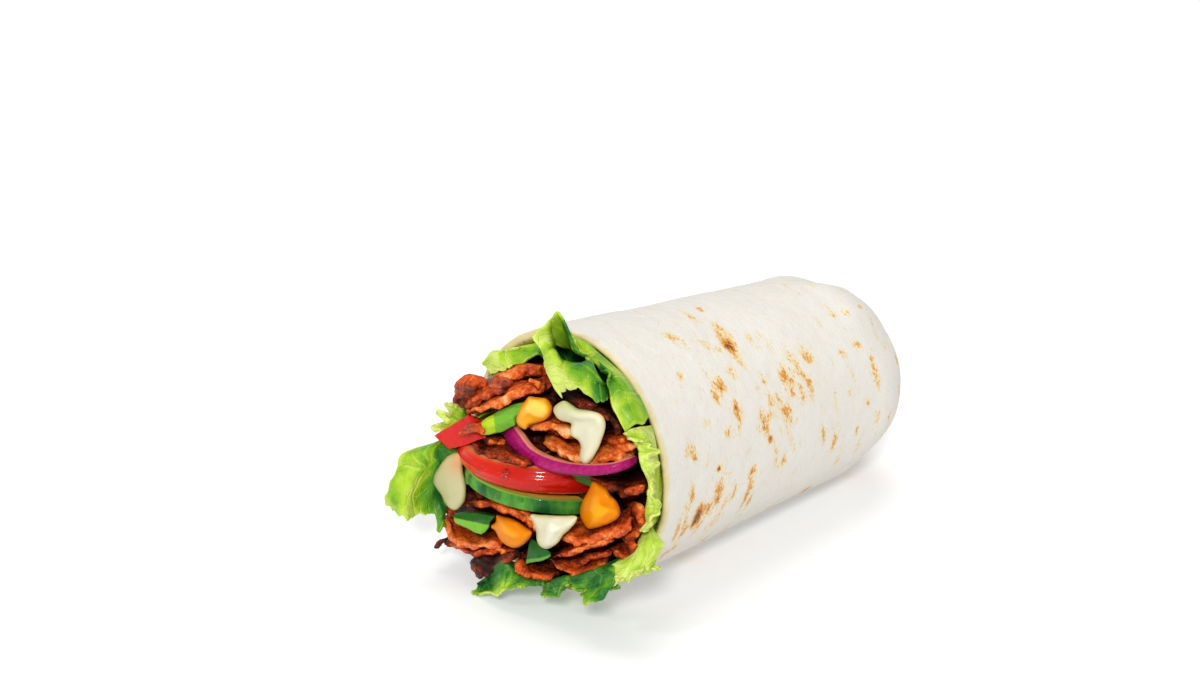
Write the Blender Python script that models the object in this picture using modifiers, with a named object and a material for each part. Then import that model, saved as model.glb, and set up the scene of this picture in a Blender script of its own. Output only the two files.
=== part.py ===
"""One half of a rolled steak wrap, cut across and lying on its side.

A flour tortilla is rolled round steak strips, vegetable slices, sauce and lettuce, with its far end
folded shut. The cut end faces -Y and its filling swells out of the mouth. Metres, +Z up. The origin
is the middle of the flat strip that the roll rests on, and the roll's axis runs along Y.

Places at the mouth are given in millimetres as (across, up, out): across is +X, up is measured from
the roll's axis at the cut, and out is the way out of the mouth, along -Y.
"""

import math

import bmesh
import bpy
from mathutils import Matrix, Vector

MM = 0.001
TURN = 2 * math.pi

# The roll
CUT_RADIUS = 36.5
END_RADIUS = 31.5
STRAIGHT_LENGTH = 95.0
DOME_LENGTH = 32.0
CUT_Y = -48.0
CUT_LEAN = 0.107
CUT_SKEW = 0.04
REST_SINK = 0.9
FOOT_RISE = 1.2
WALL = 2.0
LAP_STEP = 1.6
LAP_ANGLE = math.radians(236)
AXIS_UP = CUT_RADIUS - REST_SINK
CREASES = 7
CREASE_DEPTH = 1.1

# The filling
STEAK_THICKNESS = 3.4
STEAK_BACK = -6.0
STEAK_PITCH = 0.12
PACKED_RADIUS = 28.5
LEAF_THICKNESS = 1.0
LEAF_LENGTH = 72.0
LEAF_GAP = 3.9
CORE_GAP = 6.2
CORE_FRONT = -6.6
CLEARANCE = 0.35

# Material: colour, roughness
FINISHES = {
    "tortilla": ((0.86, 0.80, 0.68), 0.75),
    "lettuce": ((0.20, 0.46, 0.05), 0.40),
    "steak": ((0.24, 0.07, 0.03), 0.42),
    "tomato": ((0.72, 0.05, 0.03), 0.22),
    "cucumber": ((0.07, 0.30, 0.06), 0.30),
    "red_onion": ((0.45, 0.04, 0.25), 0.30),
    "green_pepper": ((0.13, 0.42, 0.04), 0.28),
    "red_pepper": ((0.76, 0.03, 0.02), 0.22),
    "cheddar_sauce": ((0.95, 0.42, 0.03), 0.25),
    "white_sauce": ((0.88, 0.85, 0.66), 0.28),
}


def clear_scene():
    for old in list(bpy.data.objects):
        bpy.data.objects.remove(old)


def finish(name):
    """The material of that name, made once."""
    made = bpy.data.materials.get(name)
    if made is None:
        colour, roughness = FINISHES[name]
        made = bpy.data.materials.new(name)
        made.use_nodes = True
        shader = made.node_tree.nodes["Principled BSDF"]
        shader.inputs["Base Color"].default_value = (*colour, 1.0)
        shader.inputs["Roughness"].default_value = roughness
        made.diffuse_color = (*colour, 1.0)
    return made


def at_mouth(across, up, out):
    """The point of the model that lies there at the mouth."""
    return Vector((across, CUT_Y - out, AXIS_UP + up)) * MM


def smooth_line(points, t):
    """The point at t, from 0 to 1, on a smooth curve through the points."""
    spans = len(points) - 1
    i = min(int(t * spans), spans - 1)
    f = t * spans - i
    a, b = Vector(points[i]), Vector(points[i + 1])
    before = Vector(points[i - 1]) if i else 2 * a - b
    after = Vector(points[i + 2]) if i + 2 <= spans else 2 * b - a
    return 0.5 * (
        2 * a
        + (b - before) * f
        + (2 * before - 5 * a + 4 * b - after) * f**2
        + (3 * a - before - 3 * b + after) * f**3
    )


def named(obj, name, look):
    """The object under its node's name, with its material, in the wrap's collection."""
    obj.name = obj.data.name = name
    obj.data.materials.clear()
    obj.data.materials.append(finish(look))
    for old in list(obj.users_collection):
        old.objects.unlink(obj)
    bpy.data.collections["steak_wrap_half"].objects.link(obj)
    return obj


def baked(obj):
    """The object with its modifiers and its place worked into its mesh."""
    bpy.context.view_layer.update()
    graph = bpy.context.evaluated_depsgraph_get()
    mesh = bpy.data.meshes.new_from_object(obj.evaluated_get(graph))
    mesh.transform(obj.matrix_world)
    obj.modifiers.clear()
    obj.data = mesh
    obj.matrix_world = Matrix.Identity(4)
    return obj


def sheet(name, look, columns, rows, place, thickness, rounding=1):
    """A soft sheet: an open grid laid out by place(t, s), thickened on both sides and rounded."""
    bpy.ops.mesh.primitive_grid_add(x_subdivisions=columns, y_subdivisions=rows, size=1)
    obj = bpy.context.object
    for vertex in obj.data.vertices:
        vertex.co = place(vertex.co.x + 0.5, vertex.co.y + 0.5) * MM
    wall = obj.modifiers.new("thickness", "SOLIDIFY")
    wall.thickness = thickness * MM
    wall.offset = 0
    if rounding:
        soft = obj.modifiers.new("rounding", "SUBSURF")
        soft.levels = soft.render_levels = rounding
    return named(baked(obj), name, look)


def tortilla():
    """The tortilla: a turned wall with a domed, creased end, a lap along one side and a flat foot."""
    name = "tortilla"
    straight_rows, dome_rows, segments = 5, 6, 36
    stations = [STRAIGHT_LENGTH * i / straight_rows for i in range(straight_rows + 1)]
    for i in range(1, dome_rows + 1):
        stations.append(STRAIGHT_LENGTH + DOME_LENGTH * math.sin(i / dome_rows * math.pi / 2))
    # The first line stands half a step round, so that one flat face lies straight under the axis.
    start = Vector((math.cos(math.pi / segments), math.sin(math.pi / segments), 0))
    line = [start * roll_radius(y) * MM + Vector((0, 0, y * MM)) for y in stations]
    line[-1] = Vector((0, 0, stations[-1] * MM))
    mesh = bpy.data.meshes.new(name)
    mesh.from_pydata(line, [(i, i + 1) for i in range(len(line) - 1)], [])
    obj = bpy.data.objects.new(name, mesh)
    bpy.context.scene.collection.objects.link(obj)
    turned = obj.modifiers.new("turned", "SCREW")
    turned.steps = turned.render_steps = segments
    turned.use_merge_vertices = True
    turned.merge_threshold = 0.00005
    turned.use_normal_flip = False
    baked(obj)
    for vertex in obj.data.vertices:
        vertex.co = rolled(vertex.co / MM) * MM
    fix_normals(obj)
    wall = obj.modifiers.new("wall", "SOLIDIFY")
    wall.thickness = WALL * MM
    wall.offset = -1
    return named(baked(obj), name, "tortilla")


def roll_radius(along):
    """Radius of the tortilla's outside, that far behind the cut."""
    if along <= STRAIGHT_LENGTH:
        share = max(along, 0.0) / STRAIGHT_LENGTH
        return CUT_RADIUS + (END_RADIUS - CUT_RADIUS) * share
    share = min((along - STRAIGHT_LENGTH) / DOME_LENGTH, 1.0)
    return END_RADIUS * math.sqrt(1 - share**2)


def in_roll(radius, angle, along):
    """The point that far behind the cut, at that radius and angle round the roll's axis."""
    axis_up = roll_radius(min(along, STRAIGHT_LENGTH)) - REST_SINK
    return Vector((radius * math.cos(angle), CUT_Y + along, axis_up + radius * math.sin(angle)))


def rolled(point):
    """A point of the turned wall, moved to where the real roll has it."""
    along = point.z
    radius = math.hypot(point.x, point.y)
    angle = math.atan2(point.y, point.x)
    closing = max(0.0, (along - STRAIGHT_LENGTH) / DOME_LENGTH)
    lapped = ((angle - LAP_ANGLE) / TURN) % 1.0
    radius += LAP_STEP * (lapped - 0.5) * (1 - closing)
    radius -= CREASE_DEPTH * closing * math.sin(math.pi * closing) * math.cos(CREASES * angle)
    place = in_roll(radius, angle, along)
    near_cut = max(0.0, 1 - along / STRAIGHT_LENGTH)
    place.y += (CUT_LEAN * (place.z - AXIS_UP) + CUT_SKEW * place.x) * near_cut
    if place.z < FOOT_RISE:
        place.z = 0.0
    return place


def fix_normals(obj):
    """Turns every face outwards."""
    shape = bmesh.new()
    shape.from_mesh(obj.data)
    bmesh.ops.recalc_face_normals(shape, faces=shape.faces)
    shape.to_mesh(obj.data)
    shape.free()


def steak_strip(name, edge, thickness=STEAK_THICKNESS):
    """A thin strip of steak, from its cut edge at the mouth back into the roll.

    Inside the mouth it is gathered in to the packed radius.
    """

    def place(t, s):
        front = smooth_line(edge, 1.12 * t - 0.06)
        back = (front.z - STEAK_BACK) * s
        out = front.z - back
        up = front.y - STEAK_PITCH * back + 0.5 * math.sin(TURN * (1.5 * t + 0.8 * s))
        room = PACKED_RADIUS + 0.9 * max(out - 2, 0.0)
        held = min(1.0, room / max(math.hypot(front.x, up), 1.0))
        return Vector((front.x * held, CUT_Y - out, AXIS_UP + up * held))

    widest = max(math.hypot(across, up) for across, up, out in edge)
    return sheet(name, "steak", 4, 2 if widest > PACKED_RADIUS else 1, place, thickness)


def leaf(name, edge, ruffle, waves, phase=0.0, ridge=None, belly=2.0, inset=0.0):
    """A lettuce leaf: it lines the wall from deep in the roll, leaves the mouth and ends in its edge.

    A leaf with a ridge rises to the ridge and folds down from there to its edge. Ridge and edge are
    lines at the mouth. The inset is the leaf's distance from the wall at the mouth.
    """
    columns, deep_rows, mouth_rows = 10, 2, 4 if ridge else 3
    middle = smooth_line(ridge or edge, 0.5)
    facing = math.atan2(middle.y, middle.x)

    def place(t, s):
        row = s * (deep_rows + mouth_rows)
        s = row / deep_rows / 2 if row <= deep_rows else 0.5 + (row - deep_rows) / mouth_rows / 2
        tip = smooth_line(edge, t)
        guide = smooth_line(ridge, t) if ridge else tip
        turn = math.atan2(guide.y, guide.x) - facing
        angle = facing + (turn + math.pi) % TURN - math.pi
        radial = Vector((math.cos(angle), 0, math.sin(angle)))
        throat = CUT_RADIUS - LEAF_GAP - inset
        fold = Vector((guide.x, CUT_Y - guide.z, AXIS_UP + guide.y))
        end = Vector((tip.x, CUT_Y - tip.z, AXIS_UP + tip.y))
        rim = CUT_LEAN * throat * math.sin(angle) + CUT_SKEW * throat * math.cos(angle)
        mouth = in_roll(throat, angle, rim - 1.0)
        if not ridge:
            fold = (mouth + end) / 2 + belly * radial
        root = in_roll(roll_radius(LEAF_LENGTH) - LEAF_GAP, angle, LEAF_LENGTH)
        half_way = in_roll(roll_radius(LEAF_LENGTH / 2) - LEAF_GAP, angle, LEAF_LENGTH / 2)
        place = smooth_line([root, half_way, mouth, fold, end], s)
        free = max(0.0, 2 * s - 1) ** 1.5 * ruffle
        place += radial * free * math.sin(TURN * (waves * t + phase))
        place.y -= 0.5 * free * math.sin(TURN * (1.6 * waves * t + 2 * phase))
        place.z = max(place.z, LEAF_THICKNESS)
        return place

    return sheet(name, "lettuce", columns, deep_rows + mouth_rows, place, LEAF_THICKNESS, 0)


def slice_of(name, look, radius, thickness, centre, normal, edge_round):
    """A round slice of tomato or cucumber, with a rounded skin edge."""
    bpy.ops.mesh.primitive_cylinder_add(vertices=26, radius=radius * MM, depth=thickness * MM)
    obj = bpy.context.object
    rounded = obj.modifiers.new("edge", "BEVEL")
    rounded.width = edge_round * MM
    rounded.segments = 2
    turn = Vector(normal).to_track_quat("Z", "Y").to_matrix().to_4x4()
    obj.matrix_world = Matrix.Translation(at_mouth(*centre)) @ turn
    return named(baked(obj), name, look)


def onion_ring(name, line, height, thickness, lean):
    """Part of one red onion ring: a band that follows its line, standing on its edge."""

    def place(t, s):
        across, up, out = smooth_line(line, t)
        rise = (s - 0.5) * height
        return Vector((across - lean * rise, CUT_Y - out, AXIS_UP + up + rise))

    return sheet(name, "red_onion", 12, 1, place, thickness, 0)


def chunk(name, look, start, end, height, depth, taper=0.8):
    """A cut piece of pepper: a bar from start to end, narrower at its end."""
    low, high = at_mouth(*start), at_mouth(*end)
    bpy.ops.mesh.primitive_cube_add(size=1)
    obj = bpy.context.object
    for vertex in obj.data.vertices:
        narrow = taper if vertex.co.x > 0 else 1.0
        vertex.co.y *= depth * MM * narrow
        vertex.co.z *= height * MM * narrow
        vertex.co.x *= (high - low).length
    rounded = obj.modifiers.new("corners", "BEVEL")
    rounded.width = 0.8 * MM
    rounded.segments = 2
    turn = (high - low).to_track_quat("X", "Z").to_matrix().to_4x4()
    obj.matrix_world = Matrix.Translation((low + high) / 2) @ turn
    return named(baked(obj), name, look)


def blob(name, look, drops, faces=200):
    """A spoonful of thick sauce: overlapping drops, given as (across, up, out, radius), run together."""
    balls = []
    for across, up, out, radius in drops:
        bpy.ops.mesh.primitive_uv_sphere_add(
            segments=16, ring_count=10, radius=radius * MM, location=at_mouth(across, up, out)
        )
        balls.append(bpy.context.object)
    obj = balls[0]
    for ball in balls[1:]:
        join = obj.modifiers.new("joined", "BOOLEAN")
        join.operation = "UNION"
        join.object = ball
    if len(balls) > 1:
        baked(obj)
    for ball in balls[1:]:
        bpy.data.objects.remove(ball)
    flow = obj.modifiers.new("flow", "REMESH")
    flow.mode = "VOXEL"
    flow.voxel_size = 1.0 * MM
    ease = obj.modifiers.new("ease", "SMOOTH")
    ease.iterations = 6
    baked(obj)
    fewer = obj.modifiers.new("fewer", "DECIMATE")
    fewer.ratio = min(1.0, faces / (2 * len(obj.data.polygons)))
    return named(baked(obj), name, look)


def steak_core():
    """The packed steak behind the mouth, out to the lettuce and back to the folded end."""
    bpy.ops.mesh.primitive_cylinder_add(vertices=24, radius=1, depth=1, end_fill_type="TRIFAN")
    obj = bpy.context.object
    cage = bmesh.new()
    cage.from_mesh(obj.data)
    for step in range(1, 6):
        bmesh.ops.bisect_plane(
            cage,
            geom=cage.verts[:] + cage.edges[:] + cage.faces[:],
            plane_co=(0, 0, step / 6 - 0.5),
            plane_no=(0, 0, 1),
        )
    front = -CORE_FRONT
    length = STRAIGHT_LENGTH + DOME_LENGTH - 6 - front
    for vertex in cage.verts:
        along = front + (vertex.co.z + 0.5) * length
        spread = math.hypot(vertex.co.x, vertex.co.y)
        angle = math.atan2(vertex.co.y, vertex.co.x)
        vertex.co = in_roll(max(roll_radius(along) - CORE_GAP, 6.0) * spread, angle, along) * MM
    cage.to_mesh(obj.data)
    cage.free()
    fix_normals(obj)
    return named(obj, "steak_core", "steak")


def grown(obj):
    """A hidden copy of the object, larger by the clearance all round, to cut with."""
    cutter = bpy.data.objects.new("cutter_" + obj.name, obj.data.copy())
    bpy.data.collections["cutters"].objects.link(cutter)
    cutter.hide_render = True
    cutter.display_type = "WIRE"
    normals = [v.normal.copy() for v in cutter.data.vertices]
    for vertex, normal in zip(cutter.data.vertices, normals):
        vertex.co += normal * CLEARANCE * MM
    return cutter


def boxes_meet(a, b):
    """Whether the bounding boxes of two baked objects meet."""
    spans = []
    for obj in (a, b):
        points = [v.co for v in obj.data.vertices]
        spans.append([(min(p[i] for p in points), max(p[i] for p in points)) for i in range(3)])
    return all(p[0] < q[1] and q[0] < p[1] for p, q in zip(*spans))


def keep_largest(obj):
    """Drops the crumbs that a cut leaves, and keeps the largest piece."""
    shape = bmesh.new()
    shape.from_mesh(obj.data)
    bmesh.ops.remove_doubles(shape, verts=shape.verts, dist=0.00002)
    left, islands = set(shape.verts), []
    while left:
        island, edge = set(), [left.pop()]
        while edge:
            vertex = edge.pop()
            island.add(vertex)
            for link in vertex.link_edges:
                other = link.other_vert(vertex)
                if other in left:
                    left.remove(other)
                    edge.append(other)
        islands.append(island)
    islands.sort(key=lambda found: sum(f.calc_area() for v in found for f in v.link_faces))
    crumbs = [v for island in islands[:-1] for v in island]
    bmesh.ops.delete(shape, geom=crumbs, context="VERTS")
    shape.to_mesh(obj.data)
    shape.free()


def cut_clear(obj, cutters):
    """Cuts the object back so that it stays a clearance away from each of these."""
    for cutter in cutters:
        if not boxes_meet(obj, cutter):
            continue
        cut = obj.modifiers.new("clear", "BOOLEAN")
        cut.operation = "DIFFERENCE"
        cut.object = cutter
        baked(obj)
    keep_largest(obj)


def slices():
    """The slices and cut pieces of vegetable."""
    yield slice_of("tomato_slice", "tomato", 24, 5.4, (-7.2, -0.4, -0.6), (0.0, 0.15, 1.0), 1.6)
    yield slice_of("cucumber_slice", "cucumber", 22, 4.0, (-6.0, -5.7, 1.1), (0.02, 0.14, 1.0), 1.0)
    ring = [
        (-8, 12, 14.5), (-2, 9.2, 15.5), (6, 8, 15.5), (13, 7.9, 14.5),
        (19, 8.6, 13), (28, 11.5, 8), (31, 13.5, 3),
    ]
    yield onion_ring("red_onion_ring", ring, 3.8, 2.4, 0.35)
    yield chunk("red_pepper_left", "red_pepper", (-26, 6.0, 20), (-15, 14.2, 18), 6.6, 9.0, 0.9)
    yield chunk("green_pepper_light", "green_pepper", (-11, 13.2, 17), (1, 21.2, 14.5), 6.4, 8.0, 0.85)
    yield chunk("green_pepper_left", "green_pepper", (-7, -13.4, 21), (-21.5, -16.4, 21), 5.0, 5.5, 0.85)
    yield chunk("green_pepper_low", "green_pepper", (13, -11, 18.5), (8, -18.5, 19.5), 8.5, 3.0, 0.5)
    yield chunk("green_pepper_inner", "green_pepper", (12, 5.6, 10.5), (19, 4.0, 8), 3.4, 3.6)


def strips():
    """The steak strips, from the top of the mouth to the bottom."""
    edges = {
        "steak_chunk_top": [(-22, 18.6, 20), (-17.4, 22.6, 20), (-13.6, 23.8, 19), (-11, 21.5, 17)],
        "steak_chunk_under": [(-17, 16, 19), (-11, 19.6, 18), (-7.5, 22.4, 16), (-4, 24.6, 13)],
        "steak_top": [(-14, 24.8, 13), (-9.2, 27, 12), (-4.5, 28, 9), (0.5, 28, 5)],
        "steak_long": [(-17.5, 12.2, 19), (-9.5, 16.4, 17), (-2, 21, 15), (5, 23.4, 9)],
        "steak_wedge": [(-18.5, 10, 22), (-14, 12, 21.5), (-10.5, 12.4, 19)],
        "steak_under_cheddar": [(1.5, 14.6, 14), (8.5, 17.8, 14), (13, 17.6, 13), (17.5, 16.4, 11)],
        "steak_dark_top": [(6, 22, 4), (11, 23, 4), (17, 22.5, 3)],
        "steak_inner_right": [(18, 21.6, 9), (22.5, 20.8, 7), (26, 19, 4), (28.4, 16.6, 2)],
        "steak_over_onion": [
            (6, 11, 12.5), (13, 12.4, 12.5), (19.5, 12, 10.5), (25, 12, 7.5), (29, 12.4, 4),
        ],
        "steak_left": [(-19, 6.6, 20), (-11, 7.8, 20), (-5, 7.6, 18), (1, 6.2, 15)],
        "steak_right": [(20, 4.4, 9.5), (25.4, 5, 9.5), (29, 4.6, 8), (31.6, 4.8, 5.5)],
        "steak_under_cucumber": [
            (-22, -14, 18), (-10.5, -9.6, 19.5), (-1, -8.6, 20), (6, -9, 20), (9, -11.4, 19),
        ],
        "steak_low_left": [(-26, -19, 20), (-18.6, -19.8, 22), (-9.4, -18.2, 23), (-1.5, -16.6, 22)],
        "steak_left_frayed": [(-28.6, -25.4, 20), (-20.4, -25.2, 22), (-11, -23.8, 23), (-2, -21.8, 22)],
        "steak_floor_left": [(-14, -30.4, 22), (-8.6, -28.2, 23), (-3, -25.6, 23), (3, -23, 21)],
        "steak_right_glossy": [(15.5, -10.8, 16.5), (22, -7, 15), (26.4, -4.8, 12.5), (29.4, -3, 9)],
        "steak_right_low": [(12, -16, 16), (19, -13, 15), (24.4, -10.6, 12.5), (28, -8.4, 9)],
        "steak_right_wrap": [(31, 2, 3), (32.6, -4, 5), (32, -10, 7), (29.4, -15.6, 9)],
        "steak_low_right": [(11.5, -20, 17), (18.5, -18.6, 15.5), (23.5, -18, 13), (27.6, -15.8, 10)],
        "steak_low_centre": [(3.5, -26.8, 20), (9, -26.4, 19), (15, -24.6, 18), (20.5, -22.4, 15)],
    }
    for name, edge in edges.items():
        yield steak_strip(name, edge)


def leaves():
    """The lettuce leaves, clockwise from the top as the mouth is seen."""
    yield leaf(
        "leaf_top",
        [(12, 26.3, 12), (16.7, 29.5, 11), (20.5, 28.8, 10), (23, 27.6, 8)],
        ruffle=0.7,
        waves=2.5,
        phase=0.1,
        ridge=[(-7, 35.4, 4), (2, 44, 4), (6.7, 38, 3), (12.6, 34.6, 2)],
    )
    yield leaf(
        "leaf_top_right",
        [(17, 29.6, 5), (22, 26, 6.5), (25, 21, 6.5), (29.4, 17.5, 4)],
        ruffle=0.9,
        waves=3.0,
        phase=0.4,
        ridge=[(14, 32.6, 1), (20.5, 29, 1), (26.5, 24, 1), (31.5, 17.6, 1)],
    )
    yield leaf(
        "leaf_right",
        [(30.6, 14.5, 5), (32.8, 8, 5), (33.6, 2.4, 5), (33.6, -3, 5)],
        ruffle=0.8,
        waves=4.0,
        phase=0.2,
        ridge=[(32.2, 14.8, 2), (34.4, 8.2, 2), (35.2, 2.4, 2), (35.2, -2.6, 2)],
    )
    yield leaf(
        "leaf_low_right",
        [(37.6, -6, 4), (39.6, -11, 4), (39, -17, 5), (32, -20, 8), (28.6, -23, 10)],
        ruffle=1.0,
        waves=2.5,
    )
    yield leaf(
        "leaf_low",
        [(28.6, -26.6, 10), (23.4, -30, 12), (19, -27.4, 14), (13, -30.2, 15), (7, -30.6, 16)],
        ruffle=0.8,
        waves=2.0,
        phase=0.6,
    )
    yield leaf(
        "leaf_low_left",
        [(4, -31.2, 17), (-1, -32.6, 19), (-6, -33.6, 21.5), (-11.5, -34.2, 24), (-15, -32, 21)],
        ruffle=0.5,
        waves=2.2,
        phase=0.3,
    )
    yield leaf(
        "leaf_left_low",
        [(-27, -24, 22), (-34, -19.8, 28), (-40, -14, 29), (-37.4, -1.4, 24), (-31, 1.4, 19)],
        ruffle=1.6,
        waves=2.2,
        phase=0.1,
    )
    yield leaf(
        "leaf_left_frill",
        [(-38, 4.4, 17), (-33, 11.2, 16), (-29.4, 13.4, 14), (-27.4, 13.8, 12)],
        ruffle=1.2,
        waves=2.0,
        phase=0.2,
    )
    yield leaf(
        "leaf_top_left",
        [(-29.6, 18.4, 1), (-24.6, 26, 1.5), (-15.4, 28.6, 3), (-8, 31, 3)],
        ruffle=0.9,
        waves=2.0,
        inset=2.5,
    )


def sauces():
    """The spoonfuls of sauce, which lie on everything else."""
    yield blob("cheddar_top", "cheddar_sauce", [
        (8.4, 23.6, 16, 4.4), (5, 22, 16.5, 3.8), (3, 19.6, 17, 2.8), (1.8, 17, 17, 2.0),
    ])
    yield blob("cheddar_right", "cheddar_sauce", [
        (22, 5.4, 11, 2.2), (24, 4, 12, 3.0), (28, 2.6, 12, 3.6),
        (25.8, 0.2, 12.5, 4.6), (24.2, -3, 13, 3.7),
    ])
    yield blob("cheddar_low", "cheddar_sauce", [
        (-4.6, -10, 20.5, 2.2), (-0.8, -9.8, 21, 3.4), (2.4, -10.2, 21.5, 4.6),
        (3, -12.6, 21.5, 3.8), (6.2, -10.2, 20.5, 3.0),
    ])
    yield blob("white_top", "white_sauce", [
        (14, 25.4, 15, 2.7), (18, 25.2, 15.5, 2.6), (22.4, 24.8, 15.5, 2.9), (26, 24, 15, 3.1),
        (24.6, 21.6, 15, 3.9), (25, 19, 14.5, 3.4), (24.5, 16.3, 14, 2.6), (23.8, 13.8, 13.5, 1.9),
    ])
    yield blob("white_left", "white_sauce", [
        (-21.6, 0.6, 19.5, 2.4), (-24.2, -3.8, 19.5, 3.8), (-25.2, -7.6, 20, 4.2),
        (-23.8, -10.2, 20, 3.8), (-23, -12.4, 19.5, 2.8),
    ])
    yield blob("white_low", "white_sauce", [
        (9.8, -6.8, 19, 2.8), (14.4, -5.8, 19.5, 3.4), (19, -4.6, 18.5, 3.2),
        (16.4, -7.6, 19.5, 3.6), (14.8, -10.8, 19.5, 2.4),
    ])


def main():
    clear_scene()
    for name in ("steak_wrap_half", "cutters"):
        folder = bpy.data.collections.new(name)
        bpy.context.scene.collection.children.link(folder)
    wrap = tortilla()
    fitted = [grown(wrap)]
    for piece in [*slices(), *strips(), *leaves(), *sauces()]:
        cut_clear(piece, fitted)
        fitted.append(grown(piece))
    cut_clear(steak_core(), fitted)
    for cutter in fitted:
        bpy.data.objects.remove(cutter)


if __name__ == "__main__":
    main()
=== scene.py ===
"""The looks of one half of a rolled steak wrap that lies on its side with its cut mouth to -Y."""
import math

import bpy
import numpy as np
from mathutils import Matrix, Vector


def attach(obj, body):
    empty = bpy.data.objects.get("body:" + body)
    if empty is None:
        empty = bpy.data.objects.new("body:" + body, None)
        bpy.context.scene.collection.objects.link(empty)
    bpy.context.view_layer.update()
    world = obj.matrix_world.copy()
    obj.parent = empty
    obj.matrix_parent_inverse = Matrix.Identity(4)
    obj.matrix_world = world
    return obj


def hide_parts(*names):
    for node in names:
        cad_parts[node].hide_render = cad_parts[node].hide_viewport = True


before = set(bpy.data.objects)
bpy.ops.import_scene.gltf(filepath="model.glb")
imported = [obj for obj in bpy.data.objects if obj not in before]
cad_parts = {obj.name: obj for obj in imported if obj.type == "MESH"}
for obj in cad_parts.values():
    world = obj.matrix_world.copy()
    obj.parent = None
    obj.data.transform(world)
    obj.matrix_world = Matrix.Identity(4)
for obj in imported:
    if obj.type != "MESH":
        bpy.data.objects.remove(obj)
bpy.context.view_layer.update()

# The flour tortilla: one sheet about 2 mm thick, rolled into a tube that gets narrower to the back.
# Its far end is drawn shut into a dome, in shallow pleats. It was toasted on a hot plate, which left
# clusters of orange flecks with brown hearts where the dough touched the metal.
MM = 0.001
TURN = 2 * math.pi
CUT_RADIUS = 36.5
END_RADIUS = 31.5
STRAIGHT_LENGTH = 95.0
DOME_LENGTH = 32.0
CUT_Y = -48.0
AXIS_UP = 35.6
REST_SINK = CUT_RADIUS - AXIS_UP
CUT_LEAN = 0.107
CUT_SKEW = 0.04
WALL = 2.0
LAP_ANGLE = math.radians(236)
LAP_STEP = 2.1
LAP_SHARE = 0.035
PLEAT_DEPTH = 1.5
UNEVEN_ROUND = 0.35
UNEVEN_ALONG = 0.25
EDGE_ROUNDING = 0.5
RAGGED_CUT = 0.3
SKIN_LUMPS = ((14, 0.5), (3.5, 0.16))
RANDOM_SPOTS = 130
# The wall thins towards the mouth: depth in mm, and where and how wide round the roll, in degrees.
THINNED = ((2.4, 122, 26), (0.8, 20, 40))
# Where round the roll, and how wide, in degrees, the inner wall takes the olive colour: partly oil, partly
# painted shade with a painted green tint of light from the lettuce.
OILY_SHADED_SIDE = (125, 42)


def roll_radius(along):
    """Radius of the tortilla's outside, that far behind the cut."""
    straight = CUT_RADIUS + (END_RADIUS - CUT_RADIUS) * np.clip(along, 0, STRAIGHT_LENGTH) / STRAIGHT_LENGTH
    share = np.clip((along - STRAIGHT_LENGTH) / DOME_LENGTH, 0, 1)
    return straight * np.sqrt(np.maximum(1 - share**2, 0))


def in_roll(radius, angle, along):
    """Points that far behind the cut, at that radius and angle round the roll's axis."""
    axis_up = roll_radius(np.minimum(along, STRAIGHT_LENGTH)) - REST_SINK
    return np.stack([radius * np.cos(angle), CUT_Y + along, axis_up + radius * np.sin(angle)], -1)


def wobble(x, seed, waves=5, first=1):
    """A smooth random line of x, within about -1 to 1, that repeats every 1."""
    draw = np.random.default_rng(seed)
    total = np.zeros_like(np.asarray(x, float))
    for k in range(first, first + waves):
        total += np.sin(TURN * (k * x + draw.random())) * draw.uniform(0.5, 1) / math.sqrt(waves)
    return total


def new_grid(name, columns, rows):
    """A flat grid, with each vertex's share across and share along, from 0 to 1."""
    bpy.ops.object.select_all(action="DESELECT")
    bpy.ops.mesh.primitive_grid_add(x_subdivisions=columns, y_subdivisions=rows, size=1)
    obj = bpy.context.object
    obj.name = obj.data.name = name
    flat = points_of(obj) + 0.5
    return obj, flat[:, 0], flat[:, 1]


def points_of(obj):
    points = np.empty(len(obj.data.vertices) * 3, np.float32)
    obj.data.vertices.foreach_get("co", points)
    return points.reshape(-1, 3).astype(float)


def set_points(obj, points):
    obj.data.vertices.foreach_set("co", np.asarray(points, np.float32).ravel())
    obj.data.update()


def set_attribute(obj, name, values):
    """Keeps one number for each vertex in the mesh, for the material to read."""
    held = obj.data.attributes.get(name) or obj.data.attributes.new(name, "FLOAT", "POINT")
    held.data.foreach_set("value", np.asarray(values, np.float32))


def modify(obj, kind, **settings):
    """Adds a modifier, sets it and applies it."""
    bpy.ops.object.select_all(action="DESELECT")
    bpy.context.view_layer.objects.active = obj
    obj.select_set(True)
    added = obj.modifiers.new(kind.lower(), kind)
    for key, value in settings.items():
        setattr(added, key, value)
    bpy.ops.object.modifier_apply(modifier=added.name)


def roughen(obj, size, strength, stretch=None):
    """Pushes the surface in and out by a noise of that size. Both are in millimetres."""
    noise = bpy.data.textures.new("noise", "CLOUDS")
    noise.noise_scale = size * MM
    push = {"texture": noise, "strength": strength * MM, "mid_level": 0.5}
    if stretch:
        grain = bpy.data.objects.new("grain", None)
        bpy.context.scene.collection.objects.link(grain)
        grain.scale = stretch
        bpy.context.view_layer.update()
        push.update(texture_coords="OBJECT", texture_coords_object=grain)
    else:
        push["texture_coords"] = "LOCAL"
    modify(obj, "DISPLACE", **push)
    if stretch:
        bpy.data.objects.remove(grain)
    bpy.data.textures.remove(noise)


def clean(obj, merge=0.01):
    """Merges doubles, closes the shape's seams and turns its faces outwards."""
    bpy.ops.object.select_all(action="DESELECT")
    bpy.context.view_layer.objects.active = obj
    obj.select_set(True)
    bpy.ops.object.mode_set(mode="EDIT")
    bpy.ops.mesh.select_all(action="SELECT")
    bpy.ops.mesh.remove_doubles(threshold=merge * MM)
    bpy.ops.mesh.normals_make_consistent(inside=False)
    bpy.ops.object.mode_set(mode="OBJECT")
    return obj


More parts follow.
